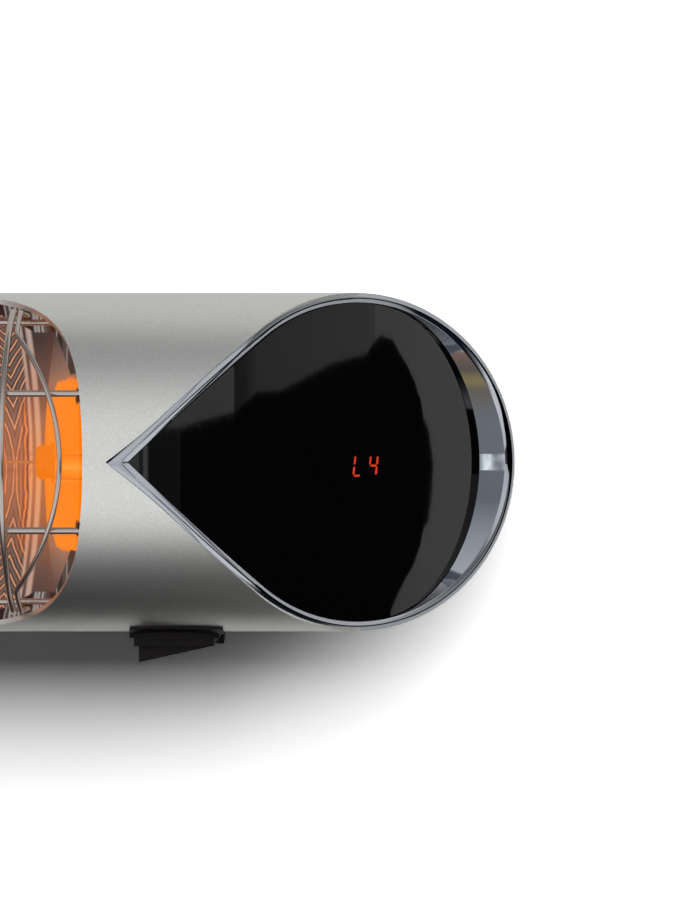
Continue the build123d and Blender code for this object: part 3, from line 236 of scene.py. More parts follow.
# The room that gloss sees, by height round the X axis: dark floor, bright window band, ceiling.
room_levels = [(0.0, 0.08), (0.16, 0.01), (0.322, 0.01), (0.35, 0.28), (0.378, 1.04), (0.44, 0.95),
               (0.50, 0.74), (0.57, 0.88), (0.61, 0.80), (0.66, 0.32), (0.74, 0.17), (0.80, 0.17),
               (0.88, 0.18), (1.0, 0.20)]
world = bpy.data.worlds.new("studio")
bpy.context.scene.world = world
world.use_nodes = True
tree = world.node_tree
tree.nodes.clear()
ray = add(tree, "ShaderNodeLightPath")
compass = add(tree, "ShaderNodeTexCoord")
parts = add(tree, "ShaderNodeSeparateXYZ", {0: compass.outputs["Generated"]})
front = add(tree, "ShaderNodeMath", {0: parts.outputs["Y"], 1: -1.0}, operation="MULTIPLY")
height = add(tree, "ShaderNodeMath", {0: parts.outputs["Z"], 1: front}, operation="ARCTAN2")
share = add(tree, "ShaderNodeMapRange", {0: height, 1: -pi, 2: pi, 3: 0.0, 4: 1.0})
room = add(tree, "ShaderNodeValToRGB", {0: share},
           [(place, (value, value + 0.004, value * 1.01 + 0.012, 1.0)) for place, value in room_levels])
gloss = add(tree, "ShaderNodeBackground", {"Color": room, "Strength": 1.0})
plain = add(tree, "ShaderNodeBackground", {"Color": (1.0, 1.0, 1.0, 1.0), "Strength": 0.02})
behind = add(tree, "ShaderNodeBackground", {"Color": (1.0, 1.0, 1.0, 1.0), "Strength": 1.0})
first = add(tree, "ShaderNodeMixShader", {0: ray.outputs["Is Glossy Ray"], 1: plain, 2: gloss})
clear = add(tree, "ShaderNodeMath", {0: ray.outputs["Is Camera Ray"], 1: ray.outputs["Is Transmission Ray"]},
            operation="MAXIMUM")
both = add(tree, "ShaderNodeMixShader", {0: clear, 1: first, 2: behind})
add(tree, "ShaderNodeOutputWorld", {"Surface": both})


# ---- Tube --------------------------------------------------------------------------------
# An extruded aluminium tube, bead-blasted and anodised. The ends are mitred to a drop, and
# the front is scooped open for the lamp; it is drawn row by row round its own axis.
tube_radius = 57.5
tube_sheet = 1.8
half_length = 440.0
drop_angle = radians(46.6)
drop_arc = 63.0
drop_rise = drop_arc * (1 - cos(drop_angle))
drop_length = drop_arc * sin(drop_angle) + (2 * tube_radius - drop_rise) / tan(drop_angle)
tip_x = half_length - drop_length
tip_draw = 2.4
tip_spread = 16.0
mouth_arc = 64.0
mouth_edge = -12.0
mouth_end = tip_x - 9.6
mouth_mid_y = mouth_edge - mouth_arc
mouth_mid_x = mouth_end - sqrt(mouth_arc ** 2 - (mouth_mid_y + tube_radius) ** 2)
flange = 2.0


def at(x, y, z):
    """From millimetres about the tube's axis to metres in the frame"""
    return (x / 1000, (y - 105.0) / 1000, (z + 10.0) / 1000)


def drop_reach(y):
    """How far past the tip the mitre lies at a depth from the axis"""
    rise = y + tube_radius
    if rise < drop_rise:
        return sqrt(max(0.0, drop_arc ** 2 - (drop_arc - rise) ** 2))
    return drop_arc * sin(drop_angle) + (rise - drop_rise) / tan(drop_angle)


def mitre_normal(y):
    """Outward normal of the mitre at a depth, in the XY plane"""
    rise = y + tube_radius
    turn = drop_angle if rise >= drop_rise else asin(min(1.0, drop_reach(y) / drop_arc))
    return sin(turn), -cos(turn)


def flange_share(y):
    """How much of the bezel's flange shows beside the tube: none in front, all at the back"""
    share = min(1.0, max(0.0, (y + 4.0) / 8.0))
    return share * share * (3 - 2 * share)


def mouth_reach(y):
    """Where the opening ends at a depth from the axis"""
    return mouth_mid_x + sqrt(max(0.0, mouth_arc ** 2 - (y - mouth_mid_y) ** 2))


def tip_pull(z):
    """Share of the drawn-out point at a height from its middle"""
    return max(0.0, 1 - abs(z) / tip_spread) ** 2


def skin(name, points, quads, material, smooth=True):
    """Mesh object from points in millimetres about the tube's axis"""
    mesh = bpy.data.meshes.new(name)
    mesh.from_pydata([at(*point) for point in points], [], quads)
    mesh.materials.append(material)
    mesh.polygons.foreach_set("use_smooth", [smooth] * len(mesh.polygons))
    return put(name, mesh)


def thicken(piece, millimetres, offset=-1.0):
    """Gives a sheet its wall as plain mesh"""
    wall = piece.modifiers.new("wall", "SOLIDIFY")
    wall.thickness = millimetres / 1000
    wall.offset = offset
    settle(piece)


def settle(piece):
    """Turns live modifiers into plain mesh"""
    finished = bpy.data.meshes.new_from_object(piece.evaluated_get(bpy.context.evaluated_depsgraph_get()))
    piece.modifiers.clear()
    piece.data = finished


def shade_sharp(piece, degrees_limit=30.0):
    """Smooth faces with crisp edges where the surface turns"""
    mesh = piece.data
    work = bmesh.new()
    work.from_mesh(mesh)
    for edge in work.edges:
        edge.smooth = len(edge.link_faces) == 2 and edge.calc_face_angle(pi) < radians(degrees_limit)
    for face in work.faces:
        face.smooth = True
    work.to_mesh(mesh)
    work.free()


# Bead-blasted, anodised aluminium: a soft satin grey with a fine sparkle. Real blasting leaves
# dimples of about 0.1 mm. They are drawn 0.4 mm wide, so that they show.
anodised, tree = blank_material("blasted_anodised_aluminium")
spot = add(tree, "ShaderNodeTexCoord")
grit = add(tree, "ShaderNodeTexNoise", {"Vector": spot.outputs["Object"], "Scale": 2600.0, "Detail": 2.0})
cloud = add(tree, "ShaderNodeTexNoise", {"Vector": spot.outputs["Object"], "Scale": 9.0, "Detail": 3.0})
hue = add(tree, "ShaderNodeValToRGB", {0: grit}, [(0.3, "#E0E1DC"), (0.72, "#F6F7F2")])
rough = add(tree, "ShaderNodeMapRange", {0: cloud, 3: 0.41, 4: 0.46})
bump = add(tree, "ShaderNodeBump", {"Height": grit, "Strength": 0.22, "Distance": 0.0002})
metal = add(tree, "ShaderNodeBsdfPrincipled", {"Base Color": hue, "Metallic": 1.0,
                                               "Roughness": rough, "Normal": bump})
add(tree, "ShaderNodeOutputMaterial", {"Surface": metal})

# Rows run along the tube, 44 from the front to each edge of the opening and 56 on to the back.
front_rows, back_rows = 44, 56
across, middle = 24, 60
edge_turn = pi / 2 - asin(-mouth_edge / tube_radius)
half = [edge_turn * (i / front_rows) for i in range(front_rows + 1)]
half += [edge_turn + (pi - edge_turn) * i / back_rows for i in range(1, back_rows + 1)]
points, quads, rows = [], [], []
for turn in half + [-turn for turn in reversed(half[1:-1])]:
    y = -tube_radius * cos(turn)
    z = tube_radius * sin(turn)
    far = tip_x + drop_reach(y) - flange_share(y) * flange / sin(drop_angle)
    if y < 0:
        far -= tip_draw * tip_pull(z + 0.6)
    near = mouth_reach(y) if y < mouth_edge else mouth_mid_x
    far = max(far, near + 3.0)
    row = []
    for sign in (1, -1):
        row.append(len(points))
        points += [(sign * (near + (far - near) * i / across), y, z) for i in range(across + 1)]
    if y >= mouth_edge - 1e-6:
        row.append(len(points))
        points += [(-mouth_mid_x + 2 * mouth_mid_x * i / middle, y, z) for i in range(1, middle)]
    rows.append(row)
for index, row in enumerate(rows):
    later = rows[(index + 1) % len(rows)]
    for i in range(across):
        a, b = row[0] + i, later[0] + i
        quads.append((a, a + 1, b + 1, b))
        a, b = row[1] + i, later[1] + i
        quads.append((a + 1, a, b, b + 1))
    if len(row) == 3 and len(later) == 3:
        low = [row[1]] + [row[2] + i for i in range(middle - 1)] + [row[0]]
        high = [later[1]] + [later[2] + i for i in range(middle - 1)] + [later[0]]
        for i in range(middle):
            quads.append((low[i], low[i + 1], high[i + 1], high[i]))
tube = skin("tube_skin", points, quads, anodised)
thicken(tube, tube_sheet)
shade_sharp(tube)
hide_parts("tube_housing")
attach(tube, "heater")


# ---- Bezels --------------------------------------------------------------------------------
# A chromium-plated ring in each mitred end. Its land caps the cut tube, and its inner wall
# falls back to the panel, deepest at the end of the heater, where it shows as a crescent.
rim_land = 3.2
land_round = 0.62
panel_recess = 1.2
knee_y = 10.0
knee_angle = radians(7.0)
knee_radius = 260.0
knee_shift = 2.45
knee_tangent = knee_radius * tan(knee_angle / 2) - knee_shift
bezel_floor = 1.5
brow_share = 0.08
tip_narrow = 1.0
seat_out, seat_deep, seat_close = 0.3, 1.0, 0.004
tip_half_angle = atan(sqrt(tube_radius / drop_arc))
loop_steps = 360

# Bright chromium plate: a hard, cool mirror with a faint ripple 45 mm long from the moulding
# below it, and a touch of haze.
chrome, tree = blank_material("bright_chromium_plate")
spot = add(tree, "ShaderNodeTexCoord")
ripple = add(tree, "ShaderNodeTexNoise", {"Vector": spot.outputs["Object"], "Scale": 22.0, "Detail": 1.0})
haze = add(tree, "ShaderNodeTexNoise", {"Vector": spot.outputs["Object"], "Scale": 300.0, "Detail": 4.0})
rough = add(tree, "ShaderNodeMapRange", {0: haze, 1: 0.4, 2: 0.8, 3: 0.035, 4: 0.07})
bump = add(tree, "ShaderNodeBump", {"Height": ripple, "Strength": 0.05, "Distance": 0.0012})
metal = add(tree, "ShaderNodeBsdfPrincipled", {"Base Color": srgb("#B4B8BE"), "Metallic": 1.0,
                                               "Roughness": rough, "Normal": bump})
add(tree, "ShaderNodeOutputMaterial", {"Surface": metal})


def drop_depth(reach):
    """Depth at which the mitre lies a given distance past the tip"""
    bend = drop_arc * sin(drop_angle)
    if reach < bend:
        return -tube_radius + drop_arc - sqrt(max(0.0, drop_arc ** 2 - reach ** 2))
    return -tube_radius + drop_rise + (reach - bend) * tan(drop_angle)


def drop_loop(inset):
    """Outline on the mitre, moved inwards by inset, from the tip round the end and back"""
    scale = (tube_radius - inset) / tube_radius
    loop = []
    for step in range(loop_steps):
        turn = 2 * pi * step / loop_steps
        z = (tube_radius - inset) * sin(turn)
        if cos(turn) > 0:
            reach = inset / sin(tip_half_angle) + scale * drop_reach(-tube_radius * cos(turn))
            loop.append((tip_x + reach, drop_depth(reach), z))
        else:
            y = -(tube_radius - inset) * cos(turn)
            loop.append((tip_x + drop_reach(y), y, z))
    return loop


def profile_line(depth, kneed):
    """The mitre's line in the XY plane moved into the tube: x at any y"""
    marks = []
    heading, at_x, at_y = 0.0, tip_x, depth - tube_radius
    bends = [(drop_arc, drop_angle, 400.0)]
    if kneed:
        bends = [(drop_arc, drop_angle, (tube_radius - drop_rise + knee_y) / sin(drop_angle) - knee_tangent),
                 (knee_radius, knee_angle, 400.0)]
    for radius, turn, run in bends:
        bend = radius - depth
        mid_x, mid_y = at_x - sin(heading) * bend, at_y + cos(heading) * bend
        for step in range(41):
            angle = heading + turn * step / 40
            marks.append((mid_x + sin(angle) * bend, mid_y - cos(angle) * bend, angle))
        heading += turn
        at_x, at_y = marks[-1][0] + cos(heading) * run, marks[-1][1] + sin(heading) * run
        marks.append((at_x, at_y, heading))
    return marks


def x_on(marks, y):
    for (x0, y0, _), (x1, y1, _) in zip(marks, marks[1:]):
        if y0 <= y <= y1:
            return x0 + (x1 - x0) * (y - y0) / max(y1 - y0, 1e-9)
    return marks[0][0]


def y_on(marks, x):
    for (x0, y0, _), (x1, y1, _) in zip(marks, marks[1:]):
        if x0 <= x <= x1:
            return y0 + (y1 - y0) * (x - x0) / max(x1 - x0, 1e-9)
    return marks[0][1]


def bezel_rings():
    """Closed loops from the seat on the tube, over the rounded land and down the inner wall"""
    floor = profile_line(panel_recess + bezel_floor, True)
    shares = (0.0, 0.07, 0.16, 0.30, 0.50, 0.70, 0.84, 0.93, 1.0)
    land = [[] for _ in shares]
    outer, brow, wall = [], [], []
    for (ox, oy, oz), (ix, iy, iz) in zip(drop_loop(0.0), drop_loop(rim_land)):
        nx, ny = mitre_normal(oy)
        back = flange_share(oy)
        pull = tip_pull(oz) if oy < 0 else 0.0
        outer.append((ox - back * flange / sin(drop_angle) + (1 - back) * seat_out - tip_draw * pull,
                      oy + (1 - back) * seat_deep, oz * (1 - (1 - back) * seat_close) - tip_narrow * pull))
        for ring, share in zip(land, shares):
            lean = abs(2 * share - 1)
            sunk = land_round * (0.4 * lean + 0.6 * lean * lean)
            drawn = pull * (1 - share)
            ring.append((ox + (ix - ox) * share - sunk * nx - tip_draw * drawn,
                         oy + (iy - oy) * share - sunk * ny,
                         oz + (iz - oz) * share - tip_narrow * drawn))
        edge = land[-1][-1]
        wall.append((x_on(floor, edge[1]), edge[1], iz) if iy > 0 else (edge[0], y_on(floor, edge[0]), iz))
        brow.append(tuple(a + (b - a) * brow_share for a, b in zip(edge, wall[-1])))
    return [outer] + land + [brow, wall]


def ring_skin(name, rings, material, mirrored=False):
    sign = -1 if mirrored else 1
    points = [(sign * x, y, z) for ring in rings for x, y, z in ring]
    count = len(rings[0])
    quads = []
    for level in range(len(rings) - 1):
        for step in range(count):
            a, b = level * count + step, level * count + (step + 1) % count
            c, d = b + count, a + count
            quads.append((a, b, c, d) if mirrored else (a, d, c, b))
    return skin(name, points, quads, material)


for side_name, node_name, mirrored in (("right", "display_bezel", False), ("left", "blank_bezel", True)):
    ring = ring_skin("bezel_" + side_name, bezel_rings(), chrome, mirrored)
    shade_sharp(ring, 50.0)
    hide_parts(node_name)
    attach(ring, "heater")


# ---- End panels -------------------------------------------------------------------------
# Gloss black acrylic behind each bezel, bent once near the tip and again behind the axis.
# The right one carries the lit readout behind it.
panel_edge = 3.35
panel_thick = 3.0

# Gloss black acrylic: deep black with one clean mirror image that wavers very slightly, and the
# faintest dust in its gloss.
acrylic, tree = blank_material("gloss_black_acrylic")
spot = add(tree, "ShaderNodeTexCoord")
wave = add(tree, "ShaderNodeTexNoise", {"Vector": spot.outputs["Object"], "Scale": 14.0, "Detail": 0.5})
dust = add(tree, "ShaderNodeTexNoise", {"Vector": spot.outputs["Object"], "Scale": 900.0, "Detail": 2.0})
hue = add(tree, "ShaderNodeValToRGB", {0: wave}, [(0.3, "#060508"), (0.8, "#0B0809")])
rough = add(tree, "ShaderNodeMapRange", {0: dust, 1: 0.4, 2: 0.8, 3: 0.03, 4: 0.055})
bump = add(tree, "ShaderNodeBump", {"Height": wave, "Strength": 0.02, "Distance": 0.001})
shell = add(tree, "ShaderNodeBsdfPrincipled", {"Base Color": hue, "Roughness": rough, "IOR": 1.49,
                                               "Normal": bump})
add(tree, "ShaderNodeOutputMaterial", {"Surface": shell})


def panel_half_height(x, y):
    """Half height of the panel where its face passes a point"""
    limit = tube_radius - panel_edge
    if y > 0:
        return sqrt(max(0.0, limit ** 2 - y ** 2))
    scale = limit / tube_radius
    reach = (x - tip_x - panel_edge / sin(tip_half_angle)) / scale
    if reach <= 0:
        return 0.0
    depth = min(drop_depth(reach), 0.0)
    return scale * sqrt(max(0.0, tube_radius ** 2 - depth ** 2))


def panel_sheet(name, mirrored):
    marks = profile_line(panel_recess, True)
    limit = tube_radius - panel_edge
    start_x = tip_x + panel_edge / sin(tip_half_angle)
    stations = []
    for (x0, y0, _), (x1, y1, _) in zip(marks, marks[1:]):
        pieces = 1 if abs(x1 - x0) < 3 else 60
        stations += [(x0 + (x1 - x0) * i / pieces, y0 + (y1 - y0) * i / pieces) for i in range(pieces)]
    stations = [(x, y) for x, y in stations if x > start_x + 0.05 and y < limit - 0.02]
    stations.insert(0, (start_x, y_on(marks, start_x)))
    end_turns = [radians(a) for a in (66, 70, 74, 78, 82, 85, 88, 90)]
    end = [(x_on(marks, limit * sin(a)), limit * sin(a)) for a in end_turns]
    stations = [s for s in stations if s[1] < end[0][1] - 0.5] + end
    high = 24
    sign = -1 if mirrored else 1
    points, quads = [], []
    for x, y in stations:
        half = panel_half_height(x, y)
        points += [(sign * x, y, half * (2 * i / high - 1)) for i in range(high + 1)]
    for row in range(len(stations) - 1):
        for i in range(high):
            a = row * (high + 1) + i
            b = a + high + 1
            quads.append((a, a + 1, b + 1, b) if mirrored else (a, b, b + 1, a + 1))
    piece = skin(name, points, quads, acrylic)
    work = bmesh.new()
    work.from_mesh(piece.data)
    bmesh.ops.remove_doubles(work, verts=work.verts, dist=1e-6)
    work.to_mesh(piece.data)
    work.free()
    thicken(piece, panel_thick)
    shade_sharp(piece, 40.0)
    return piece


for side_name, node_name, mirrored in (("right", "display_panel", False), ("left", "blank_panel", True)):
    sheet = panel_sheet("panel_" + side_name, mirrored)
    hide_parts(node_name)
    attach(sheet, "heater")


# ---- Readout ------------------------------------------------------------------------------
# Two red seven-bar figures shine through the panel. The bars stand a hair proud of its face,
# so that they are seen, and lean to the right as such figures do.
figure_height = 7.6
figure_width = 4.3
figure_pitch = 6.3
figure_spread = 1.22
figure_lean = radians(9.0)
bar_wide = 0.75
bar_gap = 0.28
bar_proud, bar_sunk = 0.16, -0.05
readout_x = 384.6
readout_z = -1.2

# Red light behind acrylic: flat, evenly lit bars with a mottle of 0.7 mm, not bright enough to
# bleach to white.
lit, tree = blank_material("lit_red_readout")
spot = add(tree, "ShaderNodeTexCoord")
mottle = add(tree, "ShaderNodeTexNoise", {"Vector": spot.outputs["Object"], "Scale": 1500.0, "Detail": 1.0})
hue = add(tree, "ShaderNodeValToRGB", {0: mottle}, [(0.35, "#C8321E"), (0.7, "#E04A30")])
glow = add(tree, "ShaderNodeEmission", {"Color": hue, "Strength": 1.0})
add(tree, "ShaderNodeOutputMaterial", {"Surface": glow})


def bar_outline(length, upright):
    half, point = length / 2 - bar_gap, bar_wide / 2
    outline = [(-half, 0), (point - half, point), (half - point, point), (half, 0), (half - point, -point),
               (point - half, -point)]
    return [(-v, u) if upright else (u, v) for u, v in outline]


def readout_bars():
    """Corners and faces of the lit bars of both figures"""
    marks = profile_line(panel_recess, True)
    half_w, half_h = (figure_width - bar_wide) / 2, (figure_height - bar_wide) / 2
    bars = {"b": (half_h, True, half_w, half_h / 2), "c": (half_h, True, half_w, -half_h / 2),
            "d": (2 * half_w, False, 0, -half_h), "e": (half_h, True, -half_w, -half_h / 2),
            "f": (half_h, True, -half_w, half_h / 2), "g": (2 * half_w, False, 0, 0)}
    along = Vector((cos(drop_angle), sin(drop_angle), 0))
    out = Vector((sin(drop_angle), -cos(drop_angle), 0))
    middle_point = Vector((readout_x, y_on(marks, readout_x), readout_z))
    points, faces = [], []
    for place, lit_bars in ((-0.5, "def"), (0.5, "bcfg")):
        for name in lit_bars:
            length, upright, u, v = bars[name]
            first = len(points)
            for depth in (bar_proud, bar_sunk):
                for du, dv in bar_outline(length, upright):
                    up = v + dv
                    sideways = place * figure_pitch * figure_spread + (u + du) + tan(figure_lean) * up
                    points.append(tuple(middle_point + along * sideways + out * depth + Vector((0, 0, up))))
            faces.append(tuple(first + i for i in range(6)))
            faces.append(tuple(first + 6 + i for i in reversed(range(6))))
            for i in range(6):
                after = (i + 1) % 6
                faces.append((first + i, first + 6 + i, first + 6 + after, first + after))
    return points, faces


points, faces = readout_bars()
figures = skin("readout_figures", points, faces, lit, smooth=False)
work = bmesh.new()
work.from_mesh(figures.data)
bmesh.ops.recalc_face_normals(work, faces=work.faces)
work.to_mesh(figures.data)
work.free()
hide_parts("display_segments")
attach(figures, "heater")


# ---- Reflector and lamp ------------------------------------------------------------------
# A bright rolled aluminium trough between two leaning end plates, with a clear quartz lamp
# on ceramic ends along its focus. The lamp's warm light and its reflections are painted into the plates, the
# trough and the ceramic ends as a glow.
trough_depth = 28.0
trough_edge = -11.0
trough_half = 53.395
trough_sheet = 0.8
plate_gap = 0.6
plate_lean = 22.0
focus_depth = 8.89
long_z = 0.381 * tube_radius
long_y = -sqrt((tube_radius - tube_sheet - 1.2) ** 2 - long_z ** 2)


def plate_x(y):
    """Where the leaning end plate stands at a depth from the axis"""
    return mouth_end - plate_gap - plate_lean * (y + tube_radius) / (trough_depth + tube_radius)


def part_of(tree):
    """A point on the heater, whole and split, in millimetres about the tube's axis"""
    spot = add(tree, "ShaderNodeTexCoord")
    scaled = add(tree, "ShaderNodeVectorMath", {0: spot.outputs["Object"], 1: (1000, 1000, 1000)},
                 operation="MULTIPLY")
    moved = add(tree, "ShaderNodeVectorMath", {0: scaled, 1: (0, 105, -10)}, operation="ADD")
    return moved, add(tree, "ShaderNodeSeparateXYZ", {0: moved})


def off_from(tree, value, middle):
    """How far a value lies from a middle, to either side"""
    over = add(tree, "ShaderNodeMath", {0: value, 1: middle}, operation="SUBTRACT")
    return add(tree, "ShaderNodeMath", {0: over}, operation="ABSOLUTE")


def above(tree, value, edge, soft):
    """0 below an edge and 1 above it"""
    over = add(tree, "ShaderNodeMath", {0: value, 1: edge}, operation="SUBTRACT")
    return add(tree, "ShaderNodeMapRange", {0: over, 1: -soft, 2: soft, 3: 0.0, 4: 1.0})


def below(tree, value, edge, soft):
    """1 below an edge and 0 above it"""
    return add(tree, "ShaderNodeMath", {0: 1.0, 1: above(tree, value, edge, soft)}, operation="SUBTRACT")


def painted_reflected_bands(tree, along, wander):
    """Painted reflection: upright dark and pale bands, as polished sheet would mirror them at its edge"""
    slow = add(tree, "ShaderNodeMath", {0: along, 1: 0.15}, operation="MULTIPLY")
    place = add(tree, "ShaderNodeMath", {0: wander, 1: 0.12, 2: slow}, operation="MULTIPLY_ADD")
    spread = add(tree, "ShaderNodeTexNoise", {"W": place, "Scale": 1.0, "Detail": 2.0}, noise_dimensions="1D")
    return add(tree, "ShaderNodeValToRGB", {0: spread}, [
        (0.34, "#171514"), (0.43, "#353130"), (0.49, "#6E6967"), (0.53, "#B8B3AF"), (0.57, "#4E4947"),
        (0.70, "#1E1B1A")])


def dress(material, *nodes):
    """Gives CAD pieces that stay a finish of their own"""
    for name in nodes:
        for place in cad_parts[name].material_slots:
            place.material = material


# Bright rolled aluminium: a dark mirror with the lamp's warm light painted on as a glow. Near its
# ends it is pressed with chevrons about 6 mm apart, which carry painted reflections of the coil as
# orange and brown lines. These run into a painted fan of glowing bands 3 mm apart, two painted bright
# lines cross it there, and its outer edge carries painted reflections of upright dark bands.
pattern_z = -3.9
fold_x = 261.6
pressed_from, pressed_to = 256.0, 267.0
fan_from = 264.2
fan_half = 24.0
chevron_slope, chevron_pitch = 105.0, 285.0
sheet_half = 46.0
painted_bright_lines = ((269.8, 0.9), (267.2, 0.5))
painted_lamplight_sheet, tree = blank_material("bright_rolled_aluminium_painted_glow")
moved, split = part_of(tree)
wobble = add(tree, "ShaderNodeTexNoise", {"Vector": moved, "Scale": 0.16, "Detail": 2.0})
from_middle = add(tree, "ShaderNodeMath", {0: split.outputs["X"]}, operation="ABSOLUTE")
away = off_from(tree, split.outputs["Z"], pattern_z)
side_run = off_from(tree, from_middle, fold_x)
squared = add(tree, "ShaderNodeMath", {0: away, 1: away}, operation="MULTIPLY")
sloped = add(tree, "ShaderNodeMath", {0: side_run, 1: chevron_slope}, operation="MULTIPLY")
chevron = add(tree, "ShaderNodeMath", {0: squared, 1: sloped}, operation="SUBTRACT")
waves = add(tree, "ShaderNodeMath", {0: chevron, 1: 1 / chevron_pitch}, operation="MULTIPLY")
phase = add(tree, "ShaderNodeMath", {0: wobble, 1: 0.3, 2: waves}, operation="MULTIPLY_ADD")
wave = add(tree, "ShaderNodeMath", {0: phase, 1: 0.5}, operation="PINGPONG")
share = add(tree, "ShaderNodeMath", {0: wave, 1: 2.0}, operation="MULTIPLY")
# Painted reflection of the glowing coil: nested orange and brown chevron lines.
lines = add(tree, "ShaderNodeValToRGB", {0: share}, [
    (0.0, "#FFC090"), (0.08, "#F09462"), (0.18, "#8A685A"), (0.36, "#5C4E49"), (0.62, "#403837"),
    (0.80, "#80695F"), (0.88, "#4C4240"), (1.0, "#90766A")])
# Painted pool of lamplight: orange mixed in close to the lamp.
painted_pool_share = add(tree, "ShaderNodeMath", {0: below(tree, away, 16.0, 14.0), 1: 0.5}, operation="MULTIPLY")
lines = add(tree, "ShaderNodeMix", {0: painted_pool_share, 6: lines, 7: srgb("#E07838")}, data_type="RGBA").outputs[2]
# Painted fan of glowing bands: lamplight reflected in a fan, colour only, with no relief.
run_turns = add(tree, "ShaderNodeMath", {0: side_run, 1: 0.62}, operation="MULTIPLY")
teeth = add(tree, "ShaderNodeMath", {0: wobble, 1: 1.4, 2: run_turns}, operation="MULTIPLY_ADD")
comb = add(tree, "ShaderNodeMath", {0: teeth, 1: 0.5}, operation="PINGPONG")
share = add(tree, "ShaderNodeMath", {0: comb, 1: 2.0}, operation="MULTIPLY")
fan = add(tree, "ShaderNodeValToRGB", {0: share},
          [(0.0, "#FF9A50"), (0.3, "#E07030"), (0.6, "#A85A38"), (1.0, "#6A4438")])
in_fan = add(tree, "ShaderNodeMath", {0: above(tree, from_middle, fan_from, 1.2),
                                      1: below(tree, away, fan_half, 6.0)}, operation="MULTIPLY")
pattern = add(tree, "ShaderNodeMix", {0: in_fan, 6: lines, 7: fan}, data_type="RGBA").outputs[2]
# Painted lamplight, fading from orange by the lamp to dark at the sheet's edges.
outwards = add(tree, "ShaderNodeMath", {0: away, 1: 1 / sheet_half}, operation="MULTIPLY")
painted_lamplight_falloff = add(tree, "ShaderNodeValToRGB", {0: outwards},
                   [(0.0, "#C8703C"), (0.4, "#A86844"), (0.7, "#6E5248"), (1.0, "#3A3434")])
pressed = add(tree, "ShaderNodeMath", {0: above(tree, from_middle, pressed_from, 0.6),
                                       1: below(tree, from_middle, pressed_to, 0.4)}, operation="MULTIPLY")
warm = add(tree, "ShaderNodeMix", {0: pressed, 6: painted_lamplight_falloff, 7: pattern}, data_type="RGBA").outputs[2]
# Painted highlights: two bright lines across the pressed ends.
painted_gleam = add(tree, "ShaderNodeValToRGB", {0: outwards}, [(0.0, "#FFA868"), (0.5, "#E8A888"), (1.0, "#C8B0A4")])
for line_x, wide in painted_bright_lines:
    in_line = below(tree, off_from(tree, from_middle, line_x), wide, 0.4)
    in_line = add(tree, "ShaderNodeMath", {0: in_line, 1: 0.8}, operation="MULTIPLY")
    warm = add(tree, "ShaderNodeMix", {0: in_line, 6: warm, 7: painted_gleam}, data_type="RGBA").outputs[2]
# Painted reflection of upright dark bands along the sheet's outer edge.
seam = add(tree, "ShaderNodeMapRange", {0: from_middle, 1: 262.0, 2: 272.0, 3: 49.4, 4: 44.2})
sideways = add(tree, "ShaderNodeMath", {0: split.outputs["Z"]}, operation="ABSOLUTE")
painted_stripes = painted_reflected_bands(tree, split.outputs["X"], wobble)
painted_glow_colour = add(tree, "ShaderNodeMix", {0: above(tree, sideways, seam, 0.25), 6: warm, 7: painted_stripes},
                  data_type="RGBA").outputs[2]
relief = add(tree, "ShaderNodeMath", {0: pressed, 1: 0.35}, operation="MULTIPLY")
bump = add(tree, "ShaderNodeBump", {"Height": wave, "Strength": relief, "Distance": 0.0004})
rough = add(tree, "ShaderNodeMapRange", {0: wobble, 3: 0.14, 4: 0.24})
# The painted lamplight and reflections shine as emission on a dark metal.
metal = add(tree, "ShaderNodeBsdfPrincipled", {"Base Color": srgb("#4A423E"), "Metallic": 1.0,
                                               "Roughness": rough, "Normal": bump,
                                               "Emission Color": painted_glow_colour, "Emission Strength": 0.9})
add(tree, "ShaderNodeOutputMaterial", {"Surface": metal})

# Aluminium end plate with the lamp's light painted on as a glow: a painted orange band of lamplight
# level with the lamp, ragged at its ends, with a painted reflection of the lamp along it, painted
# lamplight fading to brown beyond it, painted reflections of dark bands past the fold, and painted
# shade in a dark round patch about each long wire.
band_z, band_half = -1.0, 29.6
lamp_z, lamp_half = -1.6, 5.0
hole_half = 2.6
painted_lamplight_plate, tree = blank_material("aluminium_end_painted_glow")
moved, split = part_of(tree)
smear = add(tree, "ShaderNodeTexNoise", {"Vector": moved, "Scale": 0.12, "Detail": 2.0})
away = off_from(tree, split.outputs["Z"], band_z)
ragged = add(tree, "ShaderNodeMath", {0: smear, 1: 3.0, 2: away}, operation="MULTIPLY_ADD")
shoulder = add(tree, "ShaderNodeMapRange", {0: split.outputs["Y"], 1: -4.0, 2: 10.0, 3: 0.0, 4: 5.0})
band_edge = add(tree, "ShaderNodeMath", {0: ragged, 1: shoulder}, operation="ADD")
share = add(tree, "ShaderNodeMath", {0: away, 1: 1 / 30.0}, operation="MULTIPLY")
# Painted lamplight: a glowing orange band level with the lamp.
orange = add(tree, "ShaderNodeValToRGB", {0: share},
             [(0.0, "#FF7C02"), (0.5, "#FF8000"), (0.9, "#FF8204"), (1.0, "#F07A10")])
on_lamp = off_from(tree, split.outputs["Z"], lamp_z)
share = add(tree, "ShaderNodeMath", {0: on_lamp, 1: 1 / lamp_half}, operation="MULTIPLY")
